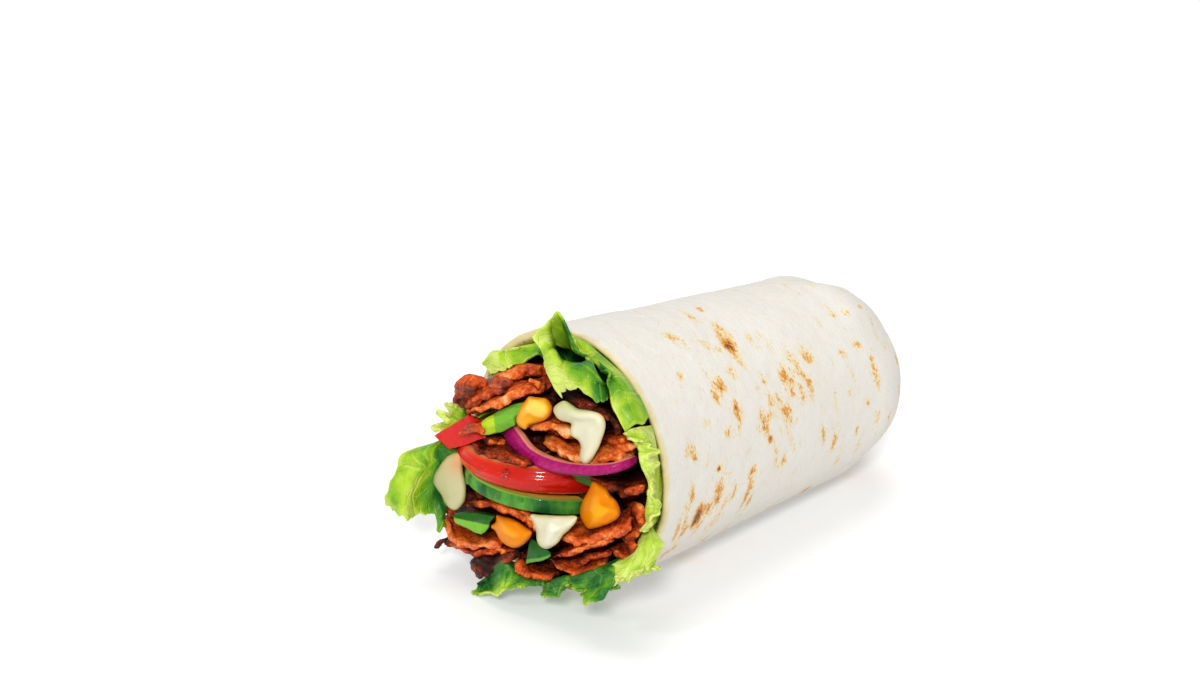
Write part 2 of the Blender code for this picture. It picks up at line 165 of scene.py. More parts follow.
def placed(obj, look, slot, *nodes):
    """Gives a finished piece its material, and its place among the wrap's pieces."""
    obj.data.materials.clear()
    obj.data.materials.append(look)
    obj.data.shade_smooth()
    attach(obj, "root")
    if nodes:
        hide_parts(*nodes)


def new_look(name):
    """A new material, its node tree and its shader."""
    look = bpy.data.materials.new(name)
    look.use_nodes = True
    return look, look.node_tree, look.node_tree.nodes["Principled BSDF"]


def node(tree, kind, sockets=(), **settings):
    """A shader node; each of its sockets takes a value or another node's output."""
    made = tree.nodes.new("ShaderNode" + kind)
    for key, value in settings.items():
        setattr(made, key, value)
    for key, value in dict(sockets).items():
        if isinstance(value, bpy.types.NodeSocket):
            tree.links.new(value, made.inputs[key])
        elif isinstance(value, tuple) and len(value) == 3 and made.inputs[key].type == "RGBA":
            made.inputs[key].default_value = (*value, 1)
        else:
            made.inputs[key].default_value = value
    return made


def blend(tree, share, first, second):
    """The first colour changed into the second by that share."""
    return node(tree, "Mix", {0: share, 6: first, 7: second}, data_type="RGBA").outputs[2]


def step(tree, value, low, high, to_low=0.0, to_high=1.0):
    """The value, moved smoothly from one range to another."""
    sockets = {"Value": value, "From Min": low, "From Max": high, "To Min": to_low, "To Max": to_high}
    return node(tree, "MapRange", sockets, interpolation_type="SMOOTHSTEP").outputs[0]


def times(tree, first, second):
    return node(tree, "Math", {0: first, 1: second}, operation="MULTIPLY").outputs[0]


def plus(tree, first, second):
    return node(tree, "Math", {0: first, 1: second}, operation="ADD").outputs[0]


def speckle(tree, size, where=None, detail=4.0, roughness=0.6, distortion=0.0):
    """A noise whose lumps are that many millimetres across."""
    if where is None:
        where = node(tree, "TexCoord").outputs["Object"]
    sockets = {
        "Vector": where, "Scale": 0.5 / (size * MM), "Detail": detail, "Roughness": roughness,
        "Distortion": distortion,
    }
    return node(tree, "TexNoise", sockets).outputs["Fac"]


def stored(tree, name):
    """The number that the mesh keeps under that name."""
    return node(tree, "Attribute", attribute_name=name).outputs["Fac"]


def bumped(tree, shader, height, depth):
    """Lets the height, from 0 to 1, roughen the surface by that many millimetres."""
    bump = node(tree, "Bump", {"Height": height, "Distance": depth * MM, "Strength": 1.0})
    tree.links.new(bump.outputs[0], shader.inputs["Normal"])


def varied(tree, value, noise, amount):
    """The value, raised and lowered by a noise of that amount."""
    return plus(tree, value, times(tree, plus(tree, noise, -0.5), amount))


def stretched(tree, where, scale):
    """The coordinates, scaled differently along each of their axes."""
    return node(tree, "Mapping", {"Vector": where, "Scale": scale}).outputs[0]


def surface(shader, soft=None, **sockets):
    """Sets the shader's own sockets. Soft is how much light sinks in, and how far it spreads, in metres."""
    if soft:
        sockets.update(subsurface_weight=soft[0], subsurface_radius=soft[1:], subsurface_scale=1.0)
    for name, value in sockets.items():
        shader.inputs[name.replace("_", " ").title().replace("Ior", "IOR")].default_value = value


# Toasted patches: mm behind the cut, degrees round the roll, length round the roll, width, strength.
TOASTED = [
    (48, 85, 3.9, 2.2, 0.7), (41, 81, 7.8, 4, 0.45), (26, 69, 6.2, 5, 0.6), (45, 66, 8.6, 5, 0.65),
    (43, 57, 7.8, 4.5, 1.1), (43, 48, 5.5, 3, 0.55), (35, 61, 6.2, 5, 0.4), (38, 57, 3.1, 3, 0.5),
    (53, 58, 4.7, 2.4, 0.55), (57, 52, 9.4, 3, 0.35), (63, 47, 3.9, 3, 0.5), (63, 42, 6.2, 3.5, 0.6),
    (57, 36, 6.2, 5, 0.75), (48, 36, 3.9, 3, 0.6), (37, 43, 5.5, 4, 0.45), (30, 41, 6.2, 3.6, 0.8),
    (27, 37, 5.5, 3.4, 0.8), (17, 50, 3.9, 4, 0.45), (29, 45, 6.2, 5, 0.25), (59, 32, 4.7, 4, 0.65),
    (70, 41, 6.2, 4, 0.7), (64, 36, 9.4, 3.4, 0.6), (58, 27, 5.5, 3, 0.6), (62, 26, 6.2, 3, 0.65),
    (66, 27, 6.2, 3.6, 0.7), (47, 26, 9.4, 3, 0.55), (51, 26, 3.9, 3.4, 0.6), (53, 18, 10.1, 6, 0.6),
    (43, 18, 8.6, 5, 0.65), (44, 10, 2.7, 2.4, 1.0), (53, 8, 6.2, 2, 0.5), (47, 0, 9.4, 4, 0.4),
    (50, -4, 5.5, 4, 0.5), (55, 2, 4.7, 2, 0.4), (69, 1, 6.2, 2, 0.75), (75, -7, 7, 3, 0.65),
    (76, 15, 13.3, 1.2, 0.5), (94, 39, 3.9, 3, 0.8), (85, 38, 3.9, 3, 0.6), (97, 26, 5.5, 2.4, 0.8),
    (96, 17, 5.5, 3, 0.55), (86, 25, 6.2, 2, 0.4), (83, 17, 3.1, 1.6, 0.45), (84, 9, 5.5, 2.4, 0.35),
    (90, 7, 3.9, 2.4, 0.5), (96, -4, 7, 3, 0.6), (86, -6, 4.7, 2, 0.6), (89, -18, 7.8, 2, 0.55),
    (80, -21, 9.4, 2.4, 0.5), (112, 21, 6.2, 2, 0.7), (110, 4, 9.4, 2, 0.55), (103, -14, 9.4, 2, 0.6),
    (92, 59, 7, 3, 0.4), (97, 58, 3.1, 2, 0.7), (83, 55, 3.9, 1.6, 0.4), (97, 82, 4.7, 1.4, 0.5),
    (89, 86, 7, 3, 0.35), (106, 59, 5.5, 2, 0.45), (107, 50, 7, 2.4, 0.4), (106, 33, 6.2, 2, 0.5),
    (33, 28, 7, 3, 0.85), (32, 22, 6.2, 2, 0.45), (19, 27, 3.1, 3.4, 0.42), (27, 20, 4.7, 2.6, 0.6),
    (30, 17, 4.7, 4, 0.25), (11, 18, 4.7, 4, 0.7), (12, 15, 2.3, 2, 1.1), (22, 6, 2, 2, 1.1),
    (27, 1, 2.3, 2.4, 0.5), (17, 10, 3.9, 1.6, 0.45), (37, -2, 3.1, 2.4, 1.1), (37, -8, 10.9, 4, 0.6),
    (37, -17, 7, 2, 0.8), (40, -21, 7, 1.6, 0.7), (23, -6, 10.9, 5, 0.7), (23, -9, 3.9, 3, 0.9),
    (30, -9, 6.2, 2.4, 0.55), (11, -2, 6.2, 3, 0.65), (9, -6, 4.7, 3, 0.4), (16, -14, 7.8, 5, 1.15),
    (20, -13, 5.5, 3.4, 0.75), (27, -18, 10.1, 4, 0.5), (12, -19, 5.5, 3.4, 0.8), (8, -17, 7, 2, 0.9),
    (10, -11, 7.8, 2, 0.6), (18, -21, 7, 4, 0.6), (25, -26, 10.9, 5, 0.35), (3, -23, 3.9, 2.6, 0.95),
    (9, -34, 5.5, 3, 0.7), (12, -30, 7, 3, 0.5), (36, -35, 7.8, 3, 0.25), (58, -14, 4.7, 1.6, 0.45),
]
TOASTED_SIDE = (-40.0, 122.0)
TOAST_SPREAD = 0.56
WALL_COLUMNS = 264
WALL_ROWS = 150
DOME_ROWS = 34

tortilla, around, down = new_grid("flour_tortilla", WALL_COLUMNS, WALL_ROWS)
row = down * WALL_ROWS
straight_rows = WALL_ROWS - DOME_ROWS
turned = np.clip((row - straight_rows) / DOME_ROWS, 0, 1) * math.pi / 2
along = np.where(row <= straight_rows, STRAIGHT_LENGTH * row / straight_rows, 0) + (
    np.where(row > straight_rows, STRAIGHT_LENGTH + DOME_LENGTH * np.sin(turned), 0)
)
closing = np.clip((along - STRAIGHT_LENGTH) / DOME_LENGTH, 0, 1)
angle = LAP_ANGLE + TURN * around * (1 + LAP_SHARE * (1 - closing) ** 0.5)
radius = roll_radius(along)
radius += LAP_STEP * (around - 0.5) * (1 - closing)
pleats = wobble(around, 3, waves=4, first=5)
radius -= PLEAT_DEPTH * np.sin(math.pi * closing**0.8) * np.maximum(pleats, -0.2) * (1 - 0.6 * closing)
radius += UNEVEN_ROUND * wobble(around, 8, waves=3, first=2) * (1 - closing)
radius += UNEVEN_ALONG * wobble(along / 140 + 0.3 * np.sin(angle), 5, waves=4) * (1 - closing**2)
radius -= EDGE_ROUNDING * np.maximum(0, 1 - along / 1.2) ** 2
wall = in_roll(radius, angle, along)
near_cut = np.maximum(0, 1 - along / STRAIGHT_LENGTH)
wall[:, 1] += (CUT_LEAN * (wall[:, 2] - AXIS_UP) + CUT_SKEW * wall[:, 0]) * near_cut
wall[:, 1] += RAGGED_CUT * wobble(around, 12, waves=6, first=3) * near_cut**12
wall[:, 2] = np.maximum(wall[:, 2], 0.05)
set_points(tortilla, wall * MM)

patches = list(TOASTED)
draw = np.random.default_rng(41)
while len(patches) < len(TOASTED) + RANDOM_SPOTS:
    spot_along, spot_angle = draw.uniform(4, 122), draw.uniform(-180, 180)
    if TOASTED_SIDE[0] < spot_angle < TOASTED_SIDE[1]:
        continue
    patches.append((spot_along, spot_angle, draw.uniform(4, 12), draw.uniform(2, 5), draw.uniform(0.3, 1)))
toast = np.zeros(len(wall))
for spot_along, spot_angle, long, wide, strength in patches:
    round_off = (angle - math.radians(spot_angle) + math.pi) % TURN - math.pi
    reach = ((round_off * radius / long) ** 2 + ((along - spot_along) / wide) ** 2) / TOAST_SPREAD**2
    toast = np.maximum(toast, strength * np.exp(-reach))
set_attribute(tortilla, "toast", toast)
for size, height in SKIN_LUMPS:
    roughen(tortilla, size, height)
clean(tortilla, merge=0.02)
outer = len(tortilla.data.vertices)
modify(tortilla, "SOLIDIFY", thickness=WALL * MM, offset=-1.0)
wall = points_of(tortilla) / MM
inner = np.arange(len(wall)) >= outer
turned = np.degrees(np.arctan2(wall[:, 2] - AXIS_UP, wall[:, 0]))
depth = wall[:, 1] - CUT_Y - CUT_LEAN * (wall[:, 2] - AXIS_UP) - CUT_SKEW * wall[:, 0]
flare = sum(deep * np.exp(-(((turned - at) / wide) ** 2)) for deep, at, wide in THINNED)
flare = flare * inner * np.exp(-np.maximum(depth, 0) / 5)
flare = flare * (1 + 0.25 * wobble(turned / 360, 9, waves=5, first=4))
wall[:, 0] -= flare * np.cos(np.radians(turned))
wall[:, 2] -= flare * np.sin(np.radians(turned))
set_points(tortilla, wall * MM)
set_attribute(tortilla, "inner", inner * 1.0)
set_attribute(tortilla, "oily_and_shaded", inner * np.exp(-(((turned - OILY_SHADED_SIDE[0]) / OILY_SHADED_SIDE[1]) ** 2)))
set_attribute(tortilla, "depth", depth)

look, tree, shader = new_look("toasted_tortilla")
spread = node(tree, "UVMap", uv_map="UVMap").outputs[0]
skin = stretched(tree, spread, (0.185, 0.165, 1.0))
flecks = speckle(tree, 0.42, skin, detail=3.0, roughness=0.6)
clumps = speckle(tree, 1.6, skin, detail=3.0, roughness=0.6)
toasted = varied(tree, stored(tree, "toast"), flecks, 1.5)
toasted = varied(tree, toasted, clumps, 1.4)
dough = blend(tree, speckle(tree, 9.0), (0.646, 0.612, 0.545), (0.696, 0.672, 0.625))
dough = blend(tree, step(tree, speckle(tree, 1.6, skin), 0.56, 0.75, 0, 0.35), dough, (0.592, 0.525, 0.407))
crumb = blend(tree, step(tree, speckle(tree, 0.6), 0.44, 0.66), (0.46, 0.36, 0.13), (0.20, 0.12, 0.03))
# The olive colour of the inner wall is partly oil and partly painted shade, with a painted green tint of
# light bounced from the lettuce. It is laid deeper in on the rim face, and on the upper left of the inner
# wall.
oily_and_shaded = blend(tree, speckle(tree, 2.0), (0.27, 0.225, 0.036), (0.165, 0.13, 0.018))
crumb = blend(tree, step(tree, stored(tree, "depth"), 0.2, 2.0), crumb, oily_and_shaded)
tanned = varied(tree, stored(tree, "depth"), speckle(tree, 2.0), 3.0)
dough = blend(tree, step(tree, tanned, 2.2, 0.0), dough, (0.60, 0.50, 0.25))
dough = blend(tree, step(tree, stored(tree, "inner"), 0.20, 0.60), dough, crumb)
dough = blend(tree, step(tree, stored(tree, "oily_and_shaded"), 0.35, 0.85), dough, oily_and_shaded)
halo = blend(tree, step(tree, toasted, 0.20, 0.50, 0, 0.75), dough, (0.71, 0.53, 0.19))
orange = blend(tree, step(tree, toasted, 0.44, 0.72), halo, (0.60, 0.245, 0.026))
brown = blend(tree, step(tree, toasted, 0.84, 1.06), orange, (0.17, 0.045, 0.0111))
tree.links.new(brown, shader.inputs["Base Color"])
surface(shader, soft=(0.12, 0.004, 0.0025, 0.0015), roughness=0.62)
bumped(tree, shader, plus(tree, speckle(tree, 2.2, detail=6.0), times(tree, flecks, 0.4)), 0.35)
placed(tortilla, look, "tortilla", "tortilla")

# Lettuce: nine torn leaves or leaf edges between the tortilla and the filling. Each is a thin, waxy,
# blistered sheet with pale ribs. It lines the wall from deep in the roll, comes out at the mouth, and
# ends in a ruffled, ragged edge.
ROLL_LENGTH = STRAIGHT_LENGTH + DOME_LENGTH
LEAF_THICKNESS = 0.7
LEAF_GAP = 3.3
LINING = (66.0, 36.0, 10.0)
LEAF_COLUMNS = 96
LEAF_ROWS = 104
LINING_SHARE = 0.22
EDGE_WIDTH = 4.5
MARGIN_WIDTH = 9
BLISTERS = ((7.0, 0.9, 0), (3.0, 0.4, 5))


def at_mouth(places):
    """Places given across the mouth, up from its middle and out of it, as points of the model."""
    across, up, out = np.moveaxis(np.asarray(places, float), -1, 0)
    return np.stack([across, CUT_Y - out, AXIS_UP + up], -1)


def curve(a, b, c, d, f):
    """The smooth curve between b and c, at share f."""
    return 0.5 * (2 * b + (c - a) * f + (2 * a - 5 * b + 4 * c - d) * f**2 + (3 * b - a - 3 * c + d) * f**3)


def with_ends(points):
    return np.concatenate([2 * points[:1] - points[1:2], points, 2 * points[-1:] - points[-2:-1]])


def through(points, shares):
    """The points at those shares, from 0 to 1, of the smooth curve through the given ones."""
    points = np.asarray(points, float)
    at = np.clip(shares, 0, 1) * (len(points) - 1)
    i = np.minimum(at.astype(int), len(points) - 2)
    f = (at - i).reshape(at.shape + (1,) * (points.ndim - 1))
    padded = with_ends(points)
    return curve(padded[i], padded[i + 1], padded[i + 2], padded[i + 3], f)


def over_rows(rows, t, at):
    """The smooth sheet through rows of points: t runs along each row, and at counts the rows."""
    stack = with_ends(np.stack([through(row, t) for row in rows]))
    i = np.clip(at.astype(int), 0, len(rows) - 2)
    k = np.arange(len(t))
    return curve(stack[i, k], stack[i + 1, k], stack[i + 2, k], stack[i + 3, k], (at - i)[:, None])


def inside_wall(points, gap):
    """The points, moved in where they come closer than the gap to the tortilla's inside or its rim."""
    across, back, up = points.T
    along = back - CUT_Y
    straight = np.clip(along, 0, STRAIGHT_LENGTH)
    axis_up = roll_radius(straight) - REST_SINK
    reach = np.hypot(across, up - axis_up)
    in_front = np.maximum(0, CUT_LEAN * (up - AXIS_UP) + CUT_SKEW * across - along)
    room = roll_radius(np.clip(along, 0, ROLL_LENGTH - 6)) - WALL - gap + 1.8 * in_front
    held = np.minimum(1, room / np.maximum(reach, 1))
    return np.stack([across * held, back, axis_up + (up - axis_up) * held], -1)


def lined(rows):
    """The leaf's rows with those put before them that line the wall, from deep in the roll."""
    first = np.asarray(rows[0], float)
    angle = np.unwrap(np.arctan2(first[:, 1], first[:, 0]))
    lining = [in_roll(roll_radius(along) - LEAF_GAP, angle, along + 0 * angle) for along in LINING]
    if first[:, 2].min() > 0:
        throat = CUT_RADIUS - LEAF_GAP - 0.4
        rim = throat * (CUT_LEAN * np.sin(angle) + CUT_SKEW * np.cos(angle))
        lining.append(in_roll(throat, angle, rim - 1.0))
    return lining, [at_mouth(row) for row in rows]


def normals_of(obj):
    normals = np.empty(len(obj.data.vertices) * 3, np.float32)
    obj.data.vertex_normals.foreach_get("vector", normals)
    return normals.reshape(-1, 3).astype(float)


def crinkled(obj, size, height, seed, share=1.0):
    """Puffs the surface up between its veins, in blisters of about that size."""
    draw = np.random.default_rng(seed)
    before, normals = points_of(obj), normals_of(obj)
    turned = bpy.data.objects.new("turned", None)
    bpy.context.scene.collection.objects.link(turned)
    turned.rotation_euler = draw.uniform(0, 3, 3)
    bpy.context.view_layer.update()
    noise = bpy.data.textures.new("blisters", "VORONOI")
    noise.noise_scale = size * MM
    noise.distance_metric = "DISTANCE_SQUARED"
    push = {"texture": noise, "strength": -height * MM, "mid_level": 0.4, "texture_coords": "OBJECT"}
    modify(obj, "DISPLACE", texture_coords_object=turned, **push)
    pushed = np.sum((points_of(obj) - before) * normals, axis=1)
    set_points(obj, before + (pushed * share)[:, None] * normals)
    bpy.data.objects.remove(turned)
    bpy.data.textures.remove(noise)
    return pushed / (height * MM)


def leaf(name, node_name, rows, seed, ruffle=1.0, ragged=0.10, teeth=9, base=0.5, spots=()):
    """One leaf through its rows. A row's places may hold a fourth number, how pale the leaf is painted
    there: partly its own colour and partly painted light and shade, as in the dark pocket of a fold.
    """
    obj, t, s = new_grid(name, LEAF_COLUMNS, LEAF_ROWS)
    pale = [np.asarray([(*spot, base)[3] for spot in row])[:, None] for row in rows]
    rows = [[spot[:3] for spot in row] for row in rows]
    lining, shown = lined(rows)
    free = np.clip((s - LINING_SHARE) / (1 - LINING_SHARE), 0, 1)
    notch = 0.5 + 0.5 * wobble(t * teeth / 8, seed, waves=6, first=2)
    notch += 0.3 * np.clip(wobble(t * teeth / 5, seed + 1, waves=4, first=3), 0, 1)
    out = free * (1 - ragged * np.clip(notch, 0, 1.4) * free**3)
    at = np.where(s < LINING_SHARE, s / LINING_SHARE, 1) * len(lining) + out * (len(shown) - 1)
    points = over_rows(lining + shown, t, np.minimum(at, len(lining) + len(shown) - 1.001))
    set_points(obj, points * MM)
    normals = normals_of(obj)
    width = np.linalg.norm(np.diff(through(shown[-1], np.linspace(0, 1, 60)), axis=0), axis=1).sum()
    ends = np.array([through(row, np.array([0.2, 0.5, 0.8])) for row in shown])
    length = np.linalg.norm(np.diff(ends, axis=0), axis=2).sum(0).mean()
    margin = np.minimum((1 - free) * length, np.minimum(t, 1 - t) * width)
    near_edge = np.exp(-margin / EDGE_WIDTH) * free
    fold = wobble(t * width / 42 + 0.3 * free, seed + 2, waves=4, first=2)
    curl = wobble(t * width / 60 + 0.8 * free, seed + 3, waves=6, first=4)
    points += normals * (ruffle * (1.1 * fold * (0.25 * free + near_edge) + 0.5 * curl * near_edge))[:, None]
    points = inside_wall(points, LEAF_THICKNESS / 2 + 0.5)
    set_points(obj, points * MM)
    puffed = 0
    for size, height, later in BLISTERS:
        puffed = puffed + crinkled(obj, size, height * max(ruffle, 0.9), seed + later, 0.4 + 0.6 * free)
    points = inside_wall(points_of(obj) / MM, LEAF_THICKNESS / 2 + 0.3)
    points[:, 2] = np.maximum(points[:, 2], 0.6)
    set_points(obj, points * MM)
    # The tones, and the spots that raise or lower them, are partly the leaf's own colour and partly painted
    # light and shade.
    pale = [pale[0] * 0 + base] * len(lining) + pale
    pale = over_rows(pale, t, np.minimum(at, len(pale) - 1.001))
    tone = pale[:, 0] + 0.10 * wobble(t * 0.9 + 0.45 * s, seed + 7, waves=4) + 0.12 * near_edge
    for spot_t, spot_s, size, paler in spots:
        reach = ((t - spot_t) ** 2 + (free - spot_s) ** 2) / size**2
        tone += paler * np.exp(-reach) * (s > LINING_SHARE)
    set_attribute(obj, "tone", tone)
    set_attribute(obj, "margin", np.minimum(margin, MARGIN_WIDTH) / MARGIN_WIDTH)
    set_attribute(obj, "puffed", puffed)
    leaf_map = obj.data.uv_layers.active.uv
    spread = np.empty(len(leaf_map) * 2, np.float32)
    leaf_map.foreach_get("vector", spread)
    spread = spread.reshape(-1, 2) * np.array([width, length / (1 - LINING_SHARE)]) * MM
    leaf_map.foreach_set("vector", spread.astype(np.float32).ravel())
    modify(obj, "SOLIDIFY", thickness=LEAF_THICKNESS * MM, offset=0.0)
    placed(obj, lettuce, "lettuce", node_name)


def ramp(tree, value, stops):
    """The value turned into colour: the ramp's first, last and further stops, in that order."""
    made = node(tree, "ValToRGB", {"Fac": value})
    for element, (place, colour) in zip(made.color_ramp.elements, stops[:2]):
        element.position, element.color = place, (*colour, 1)
    for place, colour in stops[2:]:
        made.color_ramp.elements.new(place).color = (*colour, 1)
    return made.outputs[0]


lettuce, tree, shader = new_look("lettuce")
spread = node(tree, "UVMap", uv_map="UVMap").outputs[0]
warp = node(tree, "TexNoise", {"Vector": spread, "Scale": 90.0, "Detail": 2.0}).outputs["Color"]
bent = node(tree, "Mix", {0: 0.004, 4: spread, 5: warp}, data_type="VECTOR").outputs[1]
along_leaf = stretched(tree, bent, (1.0, 0.45, 1.0))
ribs = node(tree, "TexVoronoi", {"Vector": along_leaf, "Scale": 95.0}, feature="DISTANCE_TO_EDGE")
fine = node(tree, "TexVoronoi", {"Vector": bent, "Scale": 330.0}, feature="DISTANCE_TO_EDGE")
rib = step(tree, ribs.outputs["Distance"], 0.0, 0.05, 1.0, 0.0)
vein = step(tree, fine.outputs["Distance"], 0.0, 0.10, 1.0, 0.0)
shade = varied(tree, stored(tree, "tone"), speckle(tree, 5.0, detail=3.0), 0.7)
shade = plus(tree, shade, times(tree, rib, 0.15))
shade = plus(tree, shade, times(tree, vein, 0.05))
shade = plus(tree, shade, step(tree, stored(tree, "margin"), 0.0, 0.06, 0.14, 0.0))
# The blisters' puffs are painted lighter and the hollows between them darker: painted light and shade.
shade = plus(tree, shade, times(tree, stored(tree, "puffed"), 0.15))
green = ramp(tree, shade, [
    (0.0, (0.0040, 0.044, 0.0090)), (1.0, (0.56, 0.67, 0.14)), (0.25, (0.020, 0.145, 0.016)),
    (0.5, (0.125, 0.325, 0.012)), (0.75, (0.36, 0.52, 0.024)),
])
tree.links.new(green, shader.inputs["Base Color"])
gloss = step(tree, speckle(tree, 3.0), 0.3, 0.7, 0.30, 0.46)
tree.links.new(gloss, shader.inputs["Roughness"])
surface(shader, soft=(0.35, 0.0012, 0.0022, 0.0005), specular_ior_level=0.22)
relief = plus(tree, times(tree, rib, -0.6), times(tree, vein, -0.35))
relief = plus(tree, relief, times(tree, speckle(tree, 0.9, detail=3.0), 0.5))
bumped(tree, shader, relief, 0.32)

# The fourth number of a place is its tone: partly the leaf's own colour, partly painted light and shade, low
# in shaded pockets and folds.
leaf("lettuce_top_fold", "leaf_top", [
    [(-0.5, 39.4, 10, 0.8), (-0.1, 40.7, 8, 0.8), (0.3, 42, 6, 0.78), (0.6, 43.3, 4, 0.74),
     (1.3, 44.6, 3, 0.62), (3.2, 43.2, 3, 0.46), (4.8, 40.8, 3, 0.24), (6.2, 38.1, 3, 0.2),
     (7.3, 36, 2.5, 0.2), (9.1, 34.9, 2, 0.2), (13, 35.1, 2, 0.2), (17.5, 34.5, 3, 0.15),
     (21, 34.2, 4, 0.2)],
    [(2.1, 38.1, 11, 0.86), (1.7, 38.8, 9, 0.86), (1.9, 38.5, 7, 0.84), (-0.5, 38.1, 3, 0.5),
     (-0.9, 38.6, 1, 0.44), (-1.4, 36.9, -1, 0.36), (-0.9, 35.4, -2, 0.12), (1, 33.8, -2, 0.1),
     (3.1, 32.5, -2, 0.1), (5.3, 31.8, -2, 0.12), (8.4, 31.7, -2, 0.12), (12.5, 31.1, -1, 0.1),
     (16.3, 30.9, 0, 0.15)],
    [(4.9, 37.1, 12, 0.68), (5.6, 38.1, 11.5, 0.66), (5.4, 37.6, 10, 0.6), (2.4, 35.6, 6, 0.42),
     (-4.6, 30.2, -2, 0.08), (-5, 28.1, -4, 0.03), (-3.8, 27.2, -5, 0), (-1.6, 27.4, -5, 0),
     (0.7, 27.9, -5, 0), (2.9, 28.7, -5, 0), (5.4, 29, -5, 0), (8.9, 28.9, -4, 0), (12.4, 28.4, -3, 0.05)],
    [(6.2, 36.3, 12.5, 0.7), (7.8, 37.4, 13, 0.76), (8.5, 38.3, 12.5, 0.72), (8.3, 38, 11, 0.56),
     (9, 36.8, 10.5, 0.46), (10.7, 35.9, 10.5, 0.42), (13.9, 36.3, 10.5, 0.42), (15.8, 36.6, 10, 0.4),
     (17.1, 36.8, 9.5, 0.34), (18.3, 37.1, 8, 0.2), (16.1, 32.3, 4, 0.08), (14.5, 29.8, 1, 0.02),
     (14.4, 27.7, -1, 0.05)],
    [(7, 34.3, 13, 0.72), (9.1, 35.3, 13.5, 0.8), (10.9, 36.6, 13.5, 0.74), (12.8, 36.7, 13.5, 0.68),
     (14.6, 36.1, 13.5, 0.66), (16.7, 36.3, 13.5, 0.62), (18.6, 36.5, 13, 0.58), (20.2, 36.6, 12.5, 0.52),
     (21, 36.1, 11.5, 0.45), (21.9, 35, 10, 0.38), (22.8, 34.4, 9, 0.5), (21.1, 31.9, 6, 0.1),
     (19.3, 29.5, 3, 0.1)],
    [(8.9, 32.5, 13.5, 0.75), (11.1, 33.1, 14, 0.82), (13, 33.7, 14, 0.9), (15.1, 33.9, 14, 0.88),
     (16.9, 34, 14, 0.76), (18.7, 34.1, 14, 0.68), (20, 33.9, 13.5, 0.64), (21, 33.7, 13, 0.58),
     (22.3, 33.7, 12.5, 0.5), (23.1, 33, 11.5, 0.3), (23.1, 33.4, 10, 0.2), (22.5, 31.1, 8, 0.2),
     (21.3, 29.4, 5, 0.15)],
    [(14, 27.4, 14, 0.8), (14.2, 28.8, 14.3, 0.8), (15.6, 30.3, 14.5, 0.85), (17.4, 31.1, 14.5, 0.9),
     (18.9, 31.8, 14.5, 0.88), (20.2, 32.4, 14, 0.84), (21.2, 31.9, 13.5, 0.74), (22.4, 30.4, 13, 0.6),
     (23.8, 29.8, 12.5, 0.5), (25.2, 29, 12, 0.35), (24.7, 29.3, 11, 0.3), (25, 28.6, 10, 0.25),
     (24.6, 28.9, 8, 0.3)],
], seed=101, ruffle=0.35, ragged=0.03)
leaf("lettuce_top_right", "leaf_top_right", [
    [(-0.7, 37, -3, 0.6), (0.9, 36.3, -3, 0.62), (3.7, 36.2, -3, 0.66), (6.8, 35.7, -3, 0.66),
     (9.9, 34.2, -3, 0.62), (13.6, 33, -3, 0.6), (17.4, 31.9, -2.5, 0.62), (20.6, 30.5, -2, 0.6),
     (23.4, 28.5, -2, 0.6), (26.8, 26.5, -1.5, 0.55), (30.1, 22.7, -1, 0.5)],
    [(1.9, 37.1, -1, 0.62), (3.8, 35, -0.5, 0.68), (6.5, 34.3, 0, 0.7), (10, 34.8, 1, 0.7),
     (13, 35.4, 2, 0.66), (15.6, 34.6, 2, 0.64), (19.1, 33.9, 2.5, 0.6), (23.2, 33, 3, 0.56),
     (26.2, 31.2, 3, 0.55), (28.3, 27.8, 3, 0.55), (32.6, 23.1, 3, 0.5)],
    [(3.1, 37.1, 0, 0.6), (5.1, 35.1, 0.5, 0.68), (7.8, 34.7, 1, 0.7), (10.8, 34.9, 1.5, 0.7),
     (13.9, 34.9, 2.5, 0.5), (17.2, 34, 3, 0.36), (20.7, 33.6, 3.5, 0.3), (22.1, 32.3, 4, 0.24),
     (24.7, 31.6, 4.5, 0.34), (26.7, 29, 5, 0.5), (31.7, 23.4, 5, 0.36)],
    [(3.2, 36.6, 0, 0.6), (5.3, 34.9, 0.5, 0.66), (8.1, 34.4, 1, 0.7), (11.1, 34.7, 1.5, 0.66),
     (15.4, 33.9, 3, 0.12), (18.8, 34.2, 4, 0.06), (22, 34.9, 5, 0.2), (22.8, 32.4, 6, 0.2),
     (23.9, 30.3, 7, 0.34), (26.1, 25.9, 8, 0.72), (30.8, 21.9, 8, 0.34)],
], seed=211, ruffle=0.6, ragged=0.06)
leaf("lettuce_right_tail", "leaf_right", [
    [(30.5, 20.6, -1), (32.4, 16.6, -1), (33.4, 11.5, -1), (33.9, 6, -1), (34.2, -1, -1), (33.6, -6, -1)],
    [(31.8, 22.3, 4), (34, 19.6, 4), (35.2, 14.2, 4), (37.8, 9.6, 5), (37.6, 3.0, 6), (36.2, -3, 6)],
    [(30.4, 21.6, 8), (34.6, 18.6, 7), (36.3, 14.0, 7), (38.4, 9.2, 7), (40.2, 3.6, 8), (37.2, -3.6, 8)],
    [(33.6, 19.7, 8), (37.6, 18.6, 3), (38.9, 12.6, 4), (42.4, 8.4, 8), (43.4, 3.4, 8), (39.9, -2.6, 8)],
], seed=307, ruffle=1.0, ragged=0.14, teeth=14, base=0.80,
    spots=[(0.1, 0.6, 0.18, -0.22), (0.55, 0.7, 0.12, 0.1), (0.75, 0.9, 0.1, -0.08)])
